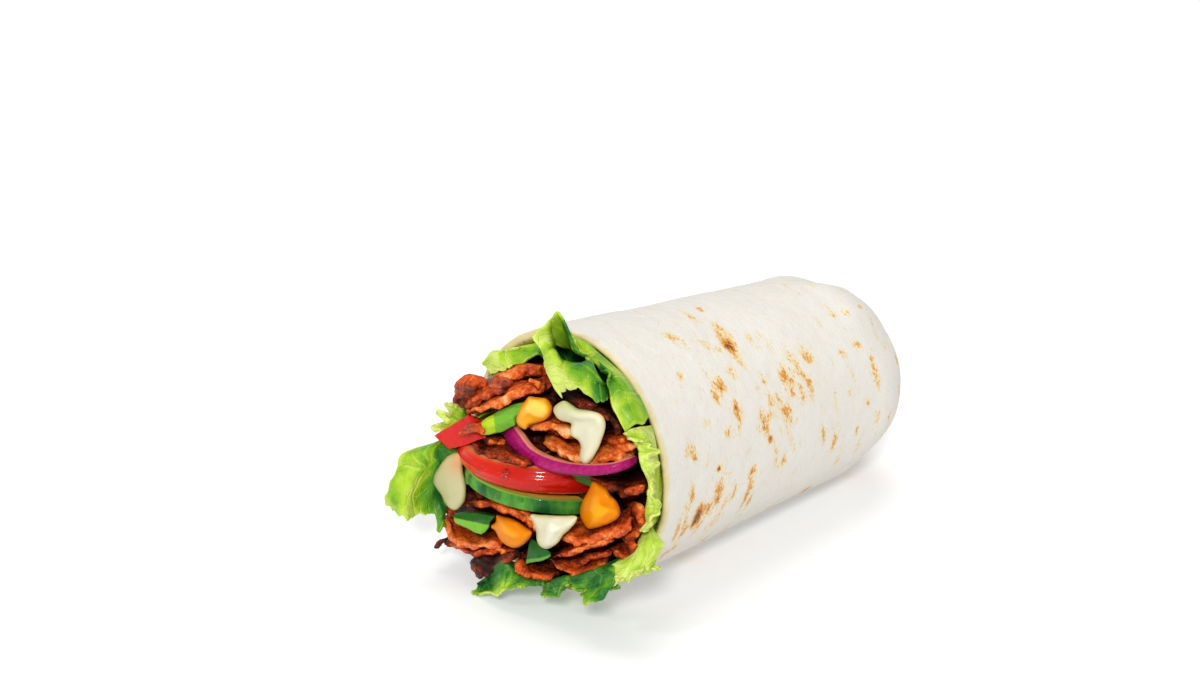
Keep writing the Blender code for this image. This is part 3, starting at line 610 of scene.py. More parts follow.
leaf("lettuce_low_right", "leaf_low_right", [
    [(35.6, -10.5, 10), (36.4, -8.5, 9), (36.3, -7, 8), (38.9, -5.9, 7), (41.7, -7.1, 5)],
    [(33.4, -12.4, 13), (37.7, -10.8, 13), (40, -8.9, 11), (41.6, -8.2, 9), (41.6, -8.2, 6)],
    [(31.1, -15.5, 14), (36.1, -14.1, 15), (40.5, -12.5, 14), (42.4, -10.8, 12), (43.1, -10.2, 9)],
    [(32.4, -19.6, 15), (35.4, -17.8, 15), (38.6, -15.4, 15), (41.5, -12, 15), (43.6, -12.7, 11),
     (43.4, -12.1, 9)],
], seed=401, ruffle=0.9, ragged=0.16, teeth=12, base=0.74,
    spots=[(0.2, 0.9, 0.2, 0.08), (0.8, 0.5, 0.2, 0.12)])
leaf("lettuce_low", "leaf_low", [
    [(9.7, -25.9, 17), (15.9, -22.3, 17), (22.4, -19, 16), (28.8, -15.1, 15), (33.3, -13.2, 14)],
    [(10.4, -27.1, 18), (17.2, -23.7, 19), (22.2, -20.9, 18), (27.9, -18.2, 17), (33.5, -15.3, 16),
     (34.4, -16.9, 14)],
    [(10.4, -29.6, 18), (16.8, -27.5, 19), (21.3, -22.4, 20), (23.3, -21.4, 19), (26.3, -22.6, 19),
     (26.2, -25.4, 20), (31, -23.6, 19), (33.4, -20.5, 17), (35.4, -17.8, 15)],
], seed=503, ruffle=1.1, ragged=0.16, teeth=12, base=0.22,
    spots=[(0.55, 0.9, 0.1, 0.22), (0.15, 0.8, 0.12, -0.12)])
leaf("lettuce_low_left", "leaf_low_left", [
    [(-11.2, -32.5, 21, 0.1), (-9.3, -30.5, 20, 0.1), (-6.4, -27.2, 20, 0.1), (-4.2, -24.5, 20, 0.16),
     (-1.9, -22.9, 19.5, 0.14), (0.2, -24.6, 18.5, 0.14), (2.8, -26.3, 18, 0.18), (6.8, -26, 18, 0.2),
     (10.3, -25, 17.5, 0.25)],
    [(-10.1, -32.4, 22.5, 0.12), (-9.5, -32.4, 21, 0.08), (-7.5, -30.6, 20.5, 0.1), (-2.1, -25.4, 22, 0.2),
     (0.3, -24.4, 21.5, 0.18), (2.6, -25.3, 20, 0.18), (5.3, -25.7, 19.5, 0.2), (8.3, -25.5, 19, 0.3),
     (11.8, -24.3, 18.5, 0.3)],
    [(-10.9, -34.1, 23.5, 0.5), (-9.4, -33.8, 21.5, 0.1), (-7, -32.2, 21, 0.1), (-0.1, -26.7, 23, 0.34),
     (1.3, -25.8, 22.5, 0.28), (3.7, -26, 21, 0.35), (6.8, -25.7, 20.5, 0.3), (9.8, -25, 20, 0.3),
     (12.8, -23.8, 19.5, 0.3)],
    [(-11.6, -34.6, 24, 0.6), (-9.6, -34.2, 22.5, 0.35), (-5.9, -32.8, 22, 0.2), (-0.7, -29.7, 23.5, 0.55),
     (1.4, -27.7, 23, 0.5), (4.2, -26.7, 21.5, 0.4), (7.3, -25.9, 21, 0.35), (10.3, -24.8, 20.5, 0.35),
     (13.4, -23.6, 20, 0.3)],
    [(-10.8, -35.2, 24, 0.66), (-6.6, -33.2, 24, 0.6), (-2.9, -31.9, 24, 0.6), (-1.2, -31.1, 24, 0.6),
     (0.3, -30, 23.5, 0.55), (2.9, -28.4, 22.5, 0.5), (5.8, -27, 21.5, 0.45), (9.3, -25.4, 21, 0.4),
     (13, -24, 20, 0.35)],
], seed=601, ruffle=0.5, ragged=0.06, teeth=10)
leaf("lettuce_left_low", "leaf_left_low", [
    [(-36.7, -1, 24, 0.6), (-34, -0.2, 23, 0.6), (-30.4, 1.6, 21, 0.5), (-29.4, 1.3, 18, 0.3),
     (-23.3, 2.6, 16, 0.25)],
    [(-38.1, -5.9, 27, 0.66), (-31.4, -3.7, 25, 0.62), (-30.3, -3.8, 21, 0.45), (-28.9, -5.8, 18, 0.25),
     (-27.2, -9.1, 15.5, 0.25)],
    [(-39.6, -14, 30, 0.7), (-33, -11, 29, 0.66), (-32.6, -12, 23, 0.45), (-31.3, -12.4, 19, 0.2),
     (-30.7, -16.4, 16, 0.2)],
    [(-37.2, -17.1, 30, 0.7), (-32.1, -18.3, 30, 0.68), (-31.4, -19.2, 27.5, 0.6),
     (-32.6, -19.1, 24, 0.45), (-30.8, -20.6, 20.5, 0.3), (-28, -24.2, 20.5, 0.25),
     (-29.9, -22.5, 17, 0.25)],
], seed=701, ruffle=1.0, ragged=0.07, teeth=10)
leaf("lettuce_left_frill", "leaf_left_frill", [
    [(-23.1, 14.5, 13, 0.47), (-23.6, 13, 13.5, 0.47), (-23.8, 11.6, 14, 0.47), (-23.6, 10.4, 14.5, 0.52),
     (-23.2, 9.3, 15.5, 0.57), (-23.3, 8, 16, 0.57)],
    [(-24.2, 14.2, 15, 0.62), (-25.4, 12.6, 15.5, 0.57), (-25.9, 11.1, 16, 0.62), (-26.1, 9.7, 16.5, 0.67),
     (-26.6, 8.2, 17, 0.72), (-27.1, 6.5, 17.5, 0.67)],
    [(-25.8, 14.3, 16, 0.77), (-27, 13.1, 16.5, 0.67), (-26.7, 11.1, 16.5, 0.77), (-28.2, 10.2, 17, 0.77),
     (-27.2, 9.2, 17.5, 0.83), (-29.6, 7.6, 18, 0.77), (-29.3, 5.8, 18, 0.77)],
    [(-27.9, 13.8, 16, 0.83), (-30.1, 13.1, 16.5, 0.83), (-27.5, 10.6, 16.5, 0.77),
     (-31.9, 10.2, 17.5, 0.91), (-29.1, 8.7, 17.5, 0.83), (-33.8, 5.9, 18.5, 0.93), (-32, 4.5, 18.5, 0.83)],
], seed=809, ruffle=0.5, ragged=0.05)
leaf("lettuce_top_left", "leaf_top_left", [
    [(-35, 17.7, -5, 0.6), (-33.9, 20.7, -6, 0.6), (-30.4, 21.4, -7, 0.6), (-25.7, 23.4, -8, 0.5),
     (-19.2, 26.2, -8, 0.4), (-13, 29.5, -8, 0.3)],
    [(-26.5, 22.5, 4.5, 0.7), (-24, 26.1, 3.5, 0.8), (-20.8, 27.1, 2, 0.8), (-17.4, 28.5, 0, 0.74),
     (-13.2, 30, -2, 0.6), (-8.9, 31.5, -2, 0.3)],
    [(-24.8, 22.9, 6, 0.7), (-20.2, 26.1, 6, 0.78), (-19.5, 27.1, 4.5, 0.74), (-18.3, 27.7, 2, 0.62),
     (-11.6, 29.3, 0, 0.42), (-6.5, 30.5, 0, 0.2)],
    [(-20.7, 22.8, 8, 0.66), (-15.1, 24.3, 7.5, 0.78), (-14, 25.5, 6, 0.7), (-12.2, 26.7, 4, 0.5),
     (-9.2, 29.4, 1, 0.3), (-5.7, 28.7, 1, 0.15)],
], seed=907, ruffle=0.4, ragged=0.05)

# The filling, made in place of the imported steak core: seared steak that fills the roll behind the mouth.
# It is a lumpy, moist, dark brown mass, which shows only in the gaps between the strips in front of it.
PACKED_GAP = 6.2
PACKED_FRONT = 6.6
PACKED_VOXEL = 1.3
PACKED_SLICES = 24

steak, tree, shader = new_look("seared_steak")
fibre = stretched(tree, node(tree, "TexCoord").outputs["Object"], (0.35, 1, 1))
grainy = speckle(tree, 0.5, detail=5.0, roughness=0.75)
strand = speckle(tree, 1.0, fibre, detail=4.0, roughness=0.65, distortion=0.6)
patch = speckle(tree, 7.0, detail=3.0)
# Near the front edges the meat is orange: its cut colour, partly painted light on the edges. The relief's
# ridges are painted lighter and its hollows darker, as painted light and shade.
sear_light_and_shade = varied(tree, times(tree, stored(tree, "front"), 0.52), patch, 0.6)
sear_light_and_shade = varied(tree, sear_light_and_shade, grainy, 1.1)
sear_light_and_shade = varied(tree, sear_light_and_shade, strand, 0.6)
sear_light_and_shade = varied(tree, sear_light_and_shade, stored(tree, "relief"), 0.6)
sear_light_and_shade = plus(tree, sear_light_and_shade, stored(tree, "browned"))
# The ramp's palest stop is partly a painted highlight.
meat = ramp(tree, sear_light_and_shade, [
    (0.0, (0.020, 0.0034, 0.0016)), (1.0, (0.86, 0.48, 0.22)), (0.18, (0.088, 0.0115, 0.0030)),
    (0.36, (0.29, 0.031, 0.0040)), (0.56, (0.62, 0.080, 0.0060)), (0.78, (0.86, 0.215, 0.032)),
])
tree.links.new(meat, shader.inputs["Base Color"])
wet = step(tree, plus(tree, speckle(tree, 4.5), times(tree, stored(tree, "wet"), 0.28)), 0.52, 0.72)
tree.links.new(step(tree, wet, 0.0, 1.0, 0.46, 0.24), shader.inputs["Roughness"])
tree.links.new(times(tree, wet, 0.25), shader.inputs["Coat Weight"])
surface(shader, soft=(0.10, 0.0015, 0.0005, 0.0003), specular_ior_level=0.2, coat_roughness=0.12)
bumped(tree, shader, plus(tree, times(tree, grainy, 0.9), times(tree, strand, 0.6)), 0.55)


def lumped(obj, size, strength, share=1.0, stretch=None):
    """Pushes the surface in and out, by a share that may differ from place to place."""
    before = points_of(obj)
    roughen(obj, size, strength, stretch=stretch)
    moved = (points_of(obj) - before) * np.reshape(share, (-1, 1))
    normals = normals_of(obj)
    set_points(obj, before + moved)
    return np.sum(moved * normals, axis=1) / MM


def keep(obj, **values):
    """Keeps several numbers for each vertex, each given for every vertex or as one for all."""
    for name, value in values.items():
        set_attribute(obj, name, np.broadcast_to(value, len(obj.data.vertices)))


bpy.ops.object.select_all(action="DESELECT")
bpy.ops.mesh.primitive_cylinder_add(vertices=96, radius=1, depth=1, end_fill_type="TRIFAN")
packed = bpy.context.object
packed.name = packed.data.name = "packed_steak"
bpy.ops.object.mode_set(mode="EDIT")
for cut in range(1, PACKED_SLICES):
    bpy.ops.mesh.select_all(action="SELECT")
    bpy.ops.mesh.bisect(plane_co=(0, 0, cut / PACKED_SLICES - 0.5), plane_no=(0, 0, 1))
bpy.ops.object.mode_set(mode="OBJECT")
flat = points_of(packed)
along = PACKED_FRONT + (flat[:, 2] + 0.5) * (ROLL_LENGTH - 6 - PACKED_FRONT)
reach = np.maximum(roll_radius(along) - PACKED_GAP, 6.0) * np.hypot(flat[:, 0], flat[:, 1])
set_points(packed, in_roll(reach, np.arctan2(flat[:, 1], flat[:, 0]), along) * MM)
clean(packed)
modify(packed, "REMESH", mode="VOXEL", voxel_size=PACKED_VOXEL * MM)
relief = lumped(packed, 7, 3.0) + lumped(packed, 2.5, 1.6)
keep(packed, relief=0.5 + relief / 1.5, front=0.1, browned=0.12, wet=0.1)
placed(packed, steak, "steak", "steak_core")

# Steak strips: thin shavings of seared meat, wavy and torn, with orange, crumbly cut edges at the mouth and
# darker, glossier faces; the orange of the edges is partly painted light. Each is given as the line of its
# front edge and a line behind it.
STRIP_VOXEL = 0.42
STRIP_BACK = 9.0
STRIP_COLUMNS = 56
STRIP_ROWS = 26
STRIP_FRONT = 2.4
STRIP_GRAIN = (5.0, 1.2, 1.0)


def strip_sheet(name, rows, thickness, seed, waves=0.5, torn=1.0):
    """A wavy sheet of meat from its torn front edge back into the roll."""
    obj, t, s = new_grid(name, STRIP_COLUMNS, STRIP_ROWS)
    behind = through(np.asarray(rows[-1], float), np.linspace(0, 1, 9)) + (-0.6, -1.2, -STRIP_BACK)
    held = np.minimum(1, (CUT_RADIUS - WALL - 4.6) / np.maximum(np.hypot(behind[:, 0], behind[:, 1]), 1))
    behind[:, :2] *= held[:, None]
    sheet = [at_mouth(row) for row in (*rows, behind)]
    length = np.linalg.norm(np.diff(sheet[0], axis=0), axis=1).sum()
    share = t * length / 30
    rip = 0.5 + 0.5 * wobble(share, seed, waves=7, first=3)
    ends = np.maximum(0, 1 - 5 * np.minimum(t, 1 - t)) ** 2
    at = s**1.15 * len(rows) + (1 - s) ** 4 * (0.14 * torn * rip + 0.35 * ends)
    points = over_rows(sheet, t, np.minimum(at, len(rows) - 0.001))
    set_points(obj, points * MM)
    lift = wobble(share * 0.8 + 0.3 * s, seed + 1, waves=3) + 0.5 * wobble(share + s, seed + 2, first=3)
    lift = waves * lift
    points += normals_of(obj) * lift[:, None]
    set_points(obj, points * MM)
    thick = 0.72 + 0.28 * wobble(share + 0.5 * s, seed + 3, waves=4) - 0.3 * ends
    group = obj.vertex_groups.new(name="meat")
    for i, weight in enumerate(np.clip(thick, 0.15, 1)):
        group.add([i], float(weight), "REPLACE")
    wall = {"thickness": thickness * MM, "offset": 0.0, "vertex_group": "meat"}
    modify(obj, "SOLIDIFY", thickness_vertex_group=0.0, **wall)
    obj.vertex_groups.clear()
    front = over_rows(sheet, np.linspace(0, 1, 80), np.zeros(80))
    return obj, front


def joined(parts, name):
    """The parts as one object."""
    bpy.ops.object.select_all(action="DESELECT")
    for part in parts:
        part.select_set(True)
    bpy.context.view_layer.objects.active = parts[0]
    if len(parts) > 1:
        bpy.ops.object.join()
    parts[0].name = parts[0].data.name = name
    return parts[0]


def near(points, line, size):
    """How close each point is to the line's points, from 1 on the line to 0 far off."""
    least = np.full(len(points), 1e9)
    for spot in line:
        least = np.minimum(least, ((points - spot) ** 2).sum(1))
    return np.exp(-np.sqrt(least) / size)


def strip(
    name, sheets, seed, thickness=2.7, browned=0.0, wet=0.0, waves=0.5, torn=1.0, cut=1.0, node_name=None,
):
    """A torn strip of steak through its sheets, as one lumpy solid with a rougher front edge."""
    made = [strip_sheet(name, rows, thickness, seed + 40 * i, waves, torn) for i, rows in enumerate(sheets)]
    obj = joined([sheet for sheet, front in made], name)
    modify(obj, "REMESH", mode="VOXEL", voxel_size=STRIP_VOXEL * MM)
    modify(obj, "SMOOTH", factor=0.5, iterations=2)
    front = near(points_of(obj) / MM, np.concatenate([front for sheet, front in made]), STRIP_FRONT)
    rough = 1 - 0.55 * min(1.0, wet)
    relief = lumped(obj, 7.0, 1.0)
    relief += lumped(obj, 2.2, 0.4, (0.3 + 0.7 * front) * rough)
    relief += lumped(obj, 1.2, 0.42, rough, stretch=STRIP_GRAIN)
    relief += lumped(obj, 0.6, 0.6, (0.25 + 0.75 * front) * rough)
    # Faces that turn up are painted lighter and faces that turn down darker: painted light from above.
    browned = 0.15 + browned + 0.12 * normals_of(obj)[:, 2]
    keep(obj, relief=0.5 + relief / 0.9, front=cut * front, browned=browned, wet=wet)
    placed(obj, steak, "steak", *([node_name] if node_name else []))


# A strip's browned value is partly its crust and partly painted shade: strips that lie deep, under leaves or
# behind others get low values.
strip("strip_dark_top", [[
    [(8, 23.4, 8), (13.4, 24.2, 8), (18.6, 24.5, 8), (22.5, 24.5, 7)],
    [(2.9, 22.5, 2), (7.7, 23.8, 1), (14.3, 22.5, 0)],
]], seed=11, browned=-0.55, wet=0.1, node_name="steak_dark_top")
strip("strip_top", [[
    [(-14.8, 23.3, 13), (-11, 25.1, 12.5), (-7.2, 26.4, 11), (-4.8, 27.1, 9), (-2.3, 27.6, 7),
     (0.1, 28.1, 5)],
    [(-23.5, 20.1, 2), (-18.2, 22.3, 1), (-13, 23.8, 0), (-9.2, 23.8, -3)],
]], seed=12, thickness=3.0, browned=0.06, waves=0.6, node_name="steak_top")
strip("strip_chunk_under", [[
    [(-17, 16.7, 19.5), (-14.1, 18.9, 19), (-11.3, 21.5, 18), (-7.6, 23.8, 17), (-4.4, 25.1, 15)],
    [(-23.1, 15.7, 14), (-19.3, 19.5, 13), (-15.6, 22.1, 12), (-11.5, 23.3, 10), (-9, 22.9, 8)],
]], seed=13, thickness=4.0, browned=0.06, wet=0.7, torn=0.6, cut=0.3, node_name="steak_chunk_under")
strip("strip_chunk_top", [[
    [(-21, 18.6, 21), (-19.6, 22.7, 21), (-16.7, 25.1, 20), (-13.1, 25.5, 19), (-12, 24.1, 18)],
    [(-22.4, 15.1, 16), (-21.1, 16.7, 15), (-18.7, 18.9, 15), (-17.4, 19.8, 14), (-16.1, 20.8, 13)],
]], seed=14, thickness=5.0, browned=0.08, wet=0.7, torn=0.6, cut=0.3, node_name="steak_chunk_top")
strip("strip_long_under", [[
    [(-17.5, 15, 16.5), (-11.8, 17.9, 16.5), (-6.7, 21.1, 16), (-2.6, 24.1, 15.5), (0.8, 26.6, 15)],
    [(-27.7, 11.2, 9), (-21, 14.8, 9), (-16.5, 17.7, 8), (-12.7, 20.3, 7)],
]], seed=41, thickness=2.2, browned=-0.2, waves=0.3)
strip("strip_long", [[
    [(-17.5, 14.2, 19.5), (-13.4, 16.7, 19), (-10, 18.8, 18.5), (-6.6, 20.7, 18), (-3.8, 22.7, 17),
     (-0.3, 24.9, 16), (2.1, 26, 14), (4.5, 26.8, 12), (5.4, 26.9, 9)],
    [(-21.9, 14.1, 13), (-15.7, 18, 12), (-10.5, 21, 11), (-6.4, 23.1, 9), (-4.5, 23.6, 5),
     (-2.4, 24.2, 2)],
]], seed=15, thickness=3.2, browned=0.14, wet=0.3, torn=0.6, waves=0.3, node_name="steak_long")
strip("strip_nub", [[
    [(2.8, 29.4, 13.5), (4.1, 28.4, 13), (4.4, 27, 12.5)],
    [(-1.1, 27.3, 11), (-0.1, 26.1, 10.5), (0.1, 24.6, 10)],
]], seed=16, thickness=2.4, browned=0.15, waves=0.2)
strip("strip_inner_right", [[
    [(23.5, 24.8, 9.5), (26.7, 24.4, 9.5), (29, 22.8, 9), (29.6, 20.2, 8)],
    [(14.8, 22.2, 2), (17.4, 22, 1), (20.8, 20.4, 0), (22.7, 17.9, -1)],
]], seed=17, browned=-0.3, node_name="steak_inner_right")
strip("strip_right_mid", [[
    [(24.9, 18, 9.5), (28.1, 18.7, 9.5), (31.1, 19.6, 9), (32.3, 19.9, 7), (32.1, 19.8, 5)],
    [(19.4, 16.1, 3), (24.2, 17.4, 2), (27.5, 18.3, 1)],
]], seed=18, browned=-0.12)
strip("strip_right_fold", [[
    [(29.5, 16.8, 9.5), (31.9, 17.5, 9), (33.3, 18.4, 8), (33.1, 18.5, 6)],
    [(24.8, 15.4, 4), (27.4, 16.2, 3), (29.2, 17, 2)],
]], seed=19, browned=0.08)
strip("strip_under_cheddar", [[
    [(1.5, 15.7, 15), (6, 17.2, 15), (10, 18.4, 14.5), (12.4, 18.5, 14), (15.6, 18.2, 13.5),
     (18.7, 17.7, 13)],
    [(-4.6, 14.2, 8), (2, 16.1, 7), (8.5, 15.8, 6), (11.2, 14.6, 5)],
]], seed=20, thickness=3.0, browned=0.2, waves=0.3, node_name="steak_under_cheddar")
strip("strip_over_onion", [[
    [(7, 11.6, 13.5), (10.3, 11.5, 13.5), (14.1, 11.6, 13.5), (17.7, 11.7, 13.5), (21.6, 12, 13),
     (25.4, 12.8, 12.5), (28.9, 14.1, 11), (31.4, 15.2, 8.5), (31.6, 15.8, 5)],
    [(0.1, 9.6, 6), (7, 11.6, 6), (13.4, 12.7, 5), (19.7, 13.4, 4), (25, 14.2, 2), (26.6, 14.8, 0)],
]], seed=21, thickness=3.2, browned=0.18, node_name="steak_over_onion")
strip("strip_under_light", [[
    [(-12.3, 9.6, 19.5), (-8.4, 9.8, 19.5), (-5.6, 8.8, 18.5)],
    [(-16, 7.4, 12), (-12.4, 7.4, 11), (-10.3, 6.6, 10)],
]], seed=22, thickness=2.0, browned=-0.1)
strip("strip_left_edge", [[
    [(-6.7, 10.1, 17.5), (-5, 8.8, 17.5), (-1.3, 7.9, 17.5), (2.9, 6.8, 16.5)],
    [(-11.9, 7.3, 10), (-8.3, 6.4, 9), (-2.9, 5.6, 9)],
]], seed=23, thickness=1.8, browned=0.05, waves=0.3)
strip("strip_left", [[
    [(-14.2, 7.3, 21.5), (-9, 6.9, 22.5), (-4.3, 7.6, 22.5), (1.1, 8, 21.8), (6.1, 8.2, 20.5),
     (8.9, 7.8, 18.5)],
    [(-17.5, 6.8, 15), (-12.2, 7.9, 14), (-7, 8.1, 13), (-1.9, 7.1, 12), (0.5, 5.6, 10)],
]], seed=24, thickness=2.0, browned=-0.2, wet=0.2, waves=0.3, node_name="steak_left")
strip("strip_wedge", [[
    [(-17.8, 9.4, 22.5), (-15, 10.6, 22), (-11.5, 12, 21.5), (-8.8, 13.1, 21)],
    [(-15.9, 11.4, 20.5), (-14, 13, 20), (-12.2, 14.2, 19.5), (-10.8, 13.7, 19)],
]], seed=25, thickness=2.4, browned=-0.02, wet=0.9, waves=0.2, torn=0.4, node_name="steak_wedge")
strip("strip_right", [
    [[(21.6, 6.5, 11), (23.7, 6.1, 11.5), (27, 6, 11.5), (30.4, 6.2, 11)],
     [(17.1, 3.9, 5), (20.5, 4.1, 4), (24.6, 4.4, 3)]],
    [[(29.7, 4.4, 10.5), (32.4, 5.2, 10.5), (35, 6.7, 10), (37.5, 8.4, 9), (39.2, 9.4, 8)],
     [(24.1, 3.6, 4), (28.2, 4.9, 3), (32.9, 6.4, 2)]],
], seed=26, thickness=2.6, browned=-0.25, waves=0.3, node_name="steak_right")
strip("strip_under_cucumber", [[
    [(-21.1, -13.9, 18.5), (-14.6, -10.8, 19.5), (-7.6, -8.7, 20), (-2.9, -8, 20), (1.8, -7.5, 20),
     (5.6, -7.7, 20), (8.1, -9.3, 19.5), (8.7, -11.3, 19)],
    [(-25.7, -16, 12), (-16.6, -12.8, 12), (-8.6, -11.6, 12), (-2.3, -11.1, 12), (2.3, -12.4, 12)],
]], seed=27, thickness=2.3, browned=-0.1, waves=0.3, torn=0.6, node_name="steak_under_cucumber")
strip("strip_cucumber_edge", [[
    [(1, -7.4, 18.5), (5.3, -7, 19), (8.5, -8, 19.5), (9.1, -10.9, 19)],
    [(-2.7, -10, 13), (1.9, -10.1, 13), (4.2, -12, 13)],
]], seed=28, thickness=1.6, browned=0.1, waves=0.2)
strip("strip_left_dark", [[
    [(-24.1, 1.6, 17.5), (-22.6, -1.1, 17.5), (-22.4, -5.6, 17.5), (-22.2, -10.9, 17.5)],
    [(-25.8, 0.2, 11), (-23.9, -3.4, 11), (-22.8, -7.9, 11), (-23, -13.5, 11)],
]], seed=43, thickness=2.2, browned=-0.4, waves=0.3)
strip("strip_left_fill", [[
    [(-28.6, -19.2, 18), (-24.3, -19.2, 18), (-18.5, -17.7, 18), (-11.9, -14.9, 18)],
    [(-36.2, -20, 11), (-30.7, -19, 11), (-24.4, -17.4, 11), (-18.1, -15.4, 11)],
]], seed=42, thickness=2.4, browned=-0.3, waves=0.3)
strip("strip_low_left", [[
    [(-26.9, -20.9, 19.5), (-24.9, -23.4, 20.5), (-21.6, -23.8, 21.5), (-16.9, -23.2, 22),
     (-12.5, -22.2, 22), (-8, -20.2, 22), (-4.2, -18.7, 21.5), (-0.4, -17.9, 21)],
    [(-32.2, -22.7, 15), (-30, -22.1, 14.5), (-27.5, -24, 14), (-24.3, -24.2, 14), (-19.8, -23.5, 14),
     (-15.2, -21.9, 14), (-11.7, -20.9, 14)],
]], seed=29, thickness=2.6, browned=0.14, wet=1.0, waves=0.4, torn=0.5, node_name="steak_low_left")
strip("strip_left_frayed", [[
    [(-27, -26.1, 20), (-24.2, -26.3, 20.5), (-20.9, -25.8, 21), (-18, -25.4, 21.5), (-15.2, -25.1, 22),
     (-11.7, -24, 22), (-8.1, -22.1, 22), (-4.8, -20.5, 21), (-0.5, -19.6, 21), (3.6, -18.6, 20)],
    [(-31.8, -29.4, 14), (-26.7, -29, 14), (-19.9, -27.3, 14), (-13.1, -24.8, 14), (-4.3, -22.1, 14)],
]], seed=30, thickness=2.0, browned=0.0, torn=1.6, node_name="steak_left_frayed")
strip("strip_spike", [[
    [(-29.3, -28.8, 21), (-27.9, -26.8, 20.5), (-26.3, -25.5, 20)],
    [(-31.1, -29.6, 19), (-29.8, -27.8, 18.5), (-28.5, -26.7, 18)],
]], seed=31, thickness=1.1, browned=-0.5, waves=0.1, torn=0.3)
strip("strip_floor_left", [[
    [(-12.4, -28.8, 23), (-10.7, -29.9, 23), (-7.6, -29.2, 23), (-4.9, -27.3, 23), (-3.7, -24.8, 22.5),
     (-2, -22.7, 22), (1.2, -20.5, 21), (4.4, -19, 20)],
    [(-16, -27.8, 19), (-13.3, -25.9, 19), (-10.2, -24.4, 19), (-8.7, -24.2, 18), (-7.1, -24, 17),
     (-4.7, -23.1, 16), (-1.5, -21.9, 15)],
]], seed=32, thickness=2.2, browned=-0.36, node_name="steak_floor_left", wet=0.3)
strip("strip_low_centre", [[
    [(1.6, -21.9, 20), (3.6, -23.2, 20.5), (6.6, -23.8, 20.5), (10.3, -23.2, 20.5), (9.6, -23.5, 20),
     (13.6, -22.3, 19), (17.3, -20.8, 18)],
    [(-1.1, -23.8, 15), (2.1, -24.3, 14), (0, -25.8, 13), (5, -24.9, 12), (9.1, -24.8, 11)],
]], seed=33, thickness=2.8, browned=-0.05, torn=0.5, node_name="steak_low_centre")
strip("strip_low_right", [[
    [(11, -18.2, 18.5), (15.1, -18.3, 18.5), (18.5, -19, 18), (22.2, -18.9, 17.5), (25.4, -18.3, 17),
     (28.2, -16.4, 16), (30.1, -14.5, 14.5), (31.2, -12.6, 13)],
    [(9.3, -20.1, 13), (14.1, -18.7, 12), (17.8, -17.8, 11), (21.3, -16.7, 10), (24.3, -15.3, 8)],
]], seed=34, thickness=2.2, browned=0.02, waves=0.4, torn=0.6, node_name="steak_low_right")
strip("strip_low_fold", [[
    [(21.9, -17, 16.5), (24.9, -14.7, 16.5), (27.5, -12.9, 16), (29.8, -11.3, 15), (31.6, -10.3, 13.5)],
    [(19.3, -17.7, 11), (22.9, -15.4, 10), (26.2, -13.4, 8)],
]], seed=35, thickness=2.0, browned=0.0)
strip("strip_right_low", [[
    [(14.5, -17, 18.5), (19.3, -13.9, 18), (23, -11.5, 17.5), (25.9, -9.7, 17), (28, -8, 16.5),
     (29.9, -7, 15.5), (32.1, -6.2, 14), (33, -5.8, 12.5)],
    [(11, -17.9, 12), (14.7, -15.9, 11), (18.7, -13.3, 10), (21.9, -11.6, 9), (25.1, -10.2, 7)],
]], seed=36, thickness=2.6, browned=0.1, wet=0.2, waves=0.3, torn=0.5, node_name="steak_right_low")
strip("strip_right_glossy", [[
    [(15.9, -11.4, 17.5), (19.9, -10.1, 17.5), (24, -8.9, 17), (28, -7, 16.5), (31.8, -4.8, 15.5),
     (35.8, -2.4, 14), (37.7, -0.9, 13), (37.6, 0.5, 11.5)],
    [(13, -11.7, 12), (16.3, -9.7, 11), (19.8, -9.3, 10), (24.4, -6.7, 10), (27.9, -3.8, 9),
     (30.6, -1.7, 8), (32.2, -1.2, 7)],
]], seed=37, thickness=3.0, browned=0.0, wet=0.5, waves=0.4, torn=0.5, node_name="steak_right_glossy")
strip("strip_right_wrap", [[
    [(34.8, 3.3, 7.5), (37.1, 2.5, 8.5), (38.1, 0.1, 9), (38.4, -1.9, 9.5), (37.8, -4.1, 10.5),
     (36.4, -5.5, 11.5)],
    [(27.4, -1.4, 2), (28, -3.7, 2), (29.4, -5.8, 3), (29.6, -7.7, 4), (28.8, -8.9, 5), (27.9, -9.7, 6)],
]], seed=38, thickness=2.6, browned=0.0, waves=0.3, node_name="steak_right_wrap")
strip("strip_right_end", [[
    [(36.2, -5.9, 10.5), (37.4, -7.3, 11), (36.5, -10, 11.5), (34.4, -10.7, 12.5), (32.3, -10.2, 13)],
    [(29.4, -10, 6), (29.4, -11.8, 6), (29.3, -12.7, 7), (28.4, -12.4, 8)],
]], seed=39, thickness=2.4, browned=0.05, waves=0.3)

# Between the strips at the front, more torn strips lie deeper in the mouth, packed on each other.
# They are dark, because little light reaches them.
DEEP_STRIPS = 34
DEEP_REACH = 25
DEEP_VOXEL = 0.62
LOW_SHREDS = ((-2, -24, 14), (-7, -25, 15), (4, -23, 13), (-14, -22, 15))
draw = np.random.default_rng(77)
parts = []
while len(parts) < DEEP_STRIPS:
    across, up = draw.uniform(-25, 25), draw.uniform(-25, 26)
    if math.hypot(across, up) > DEEP_REACH:
        continue
    out = 10.5 - 0.26 * across + draw.uniform(-3.5, 2.5)
    long, tilt, bend = draw.uniform(5, 10), draw.uniform(-0.35, 0.45), draw.uniform(-2, 2)
    line = [
        (across + long * k, up + long * k * tilt + bend * k * k, out - 0.22 * long * k)
        for k in (-1, -0.3, 0.4, 1)
    ]
    back = [(x - 4, y - draw.uniform(0, 2.5), w - 8) for x, y, w in line]
    sheet, front = strip_sheet("deep_strip", [line, back], 2.6, 900 + len(parts), 0.7)
    parts.append(sheet)
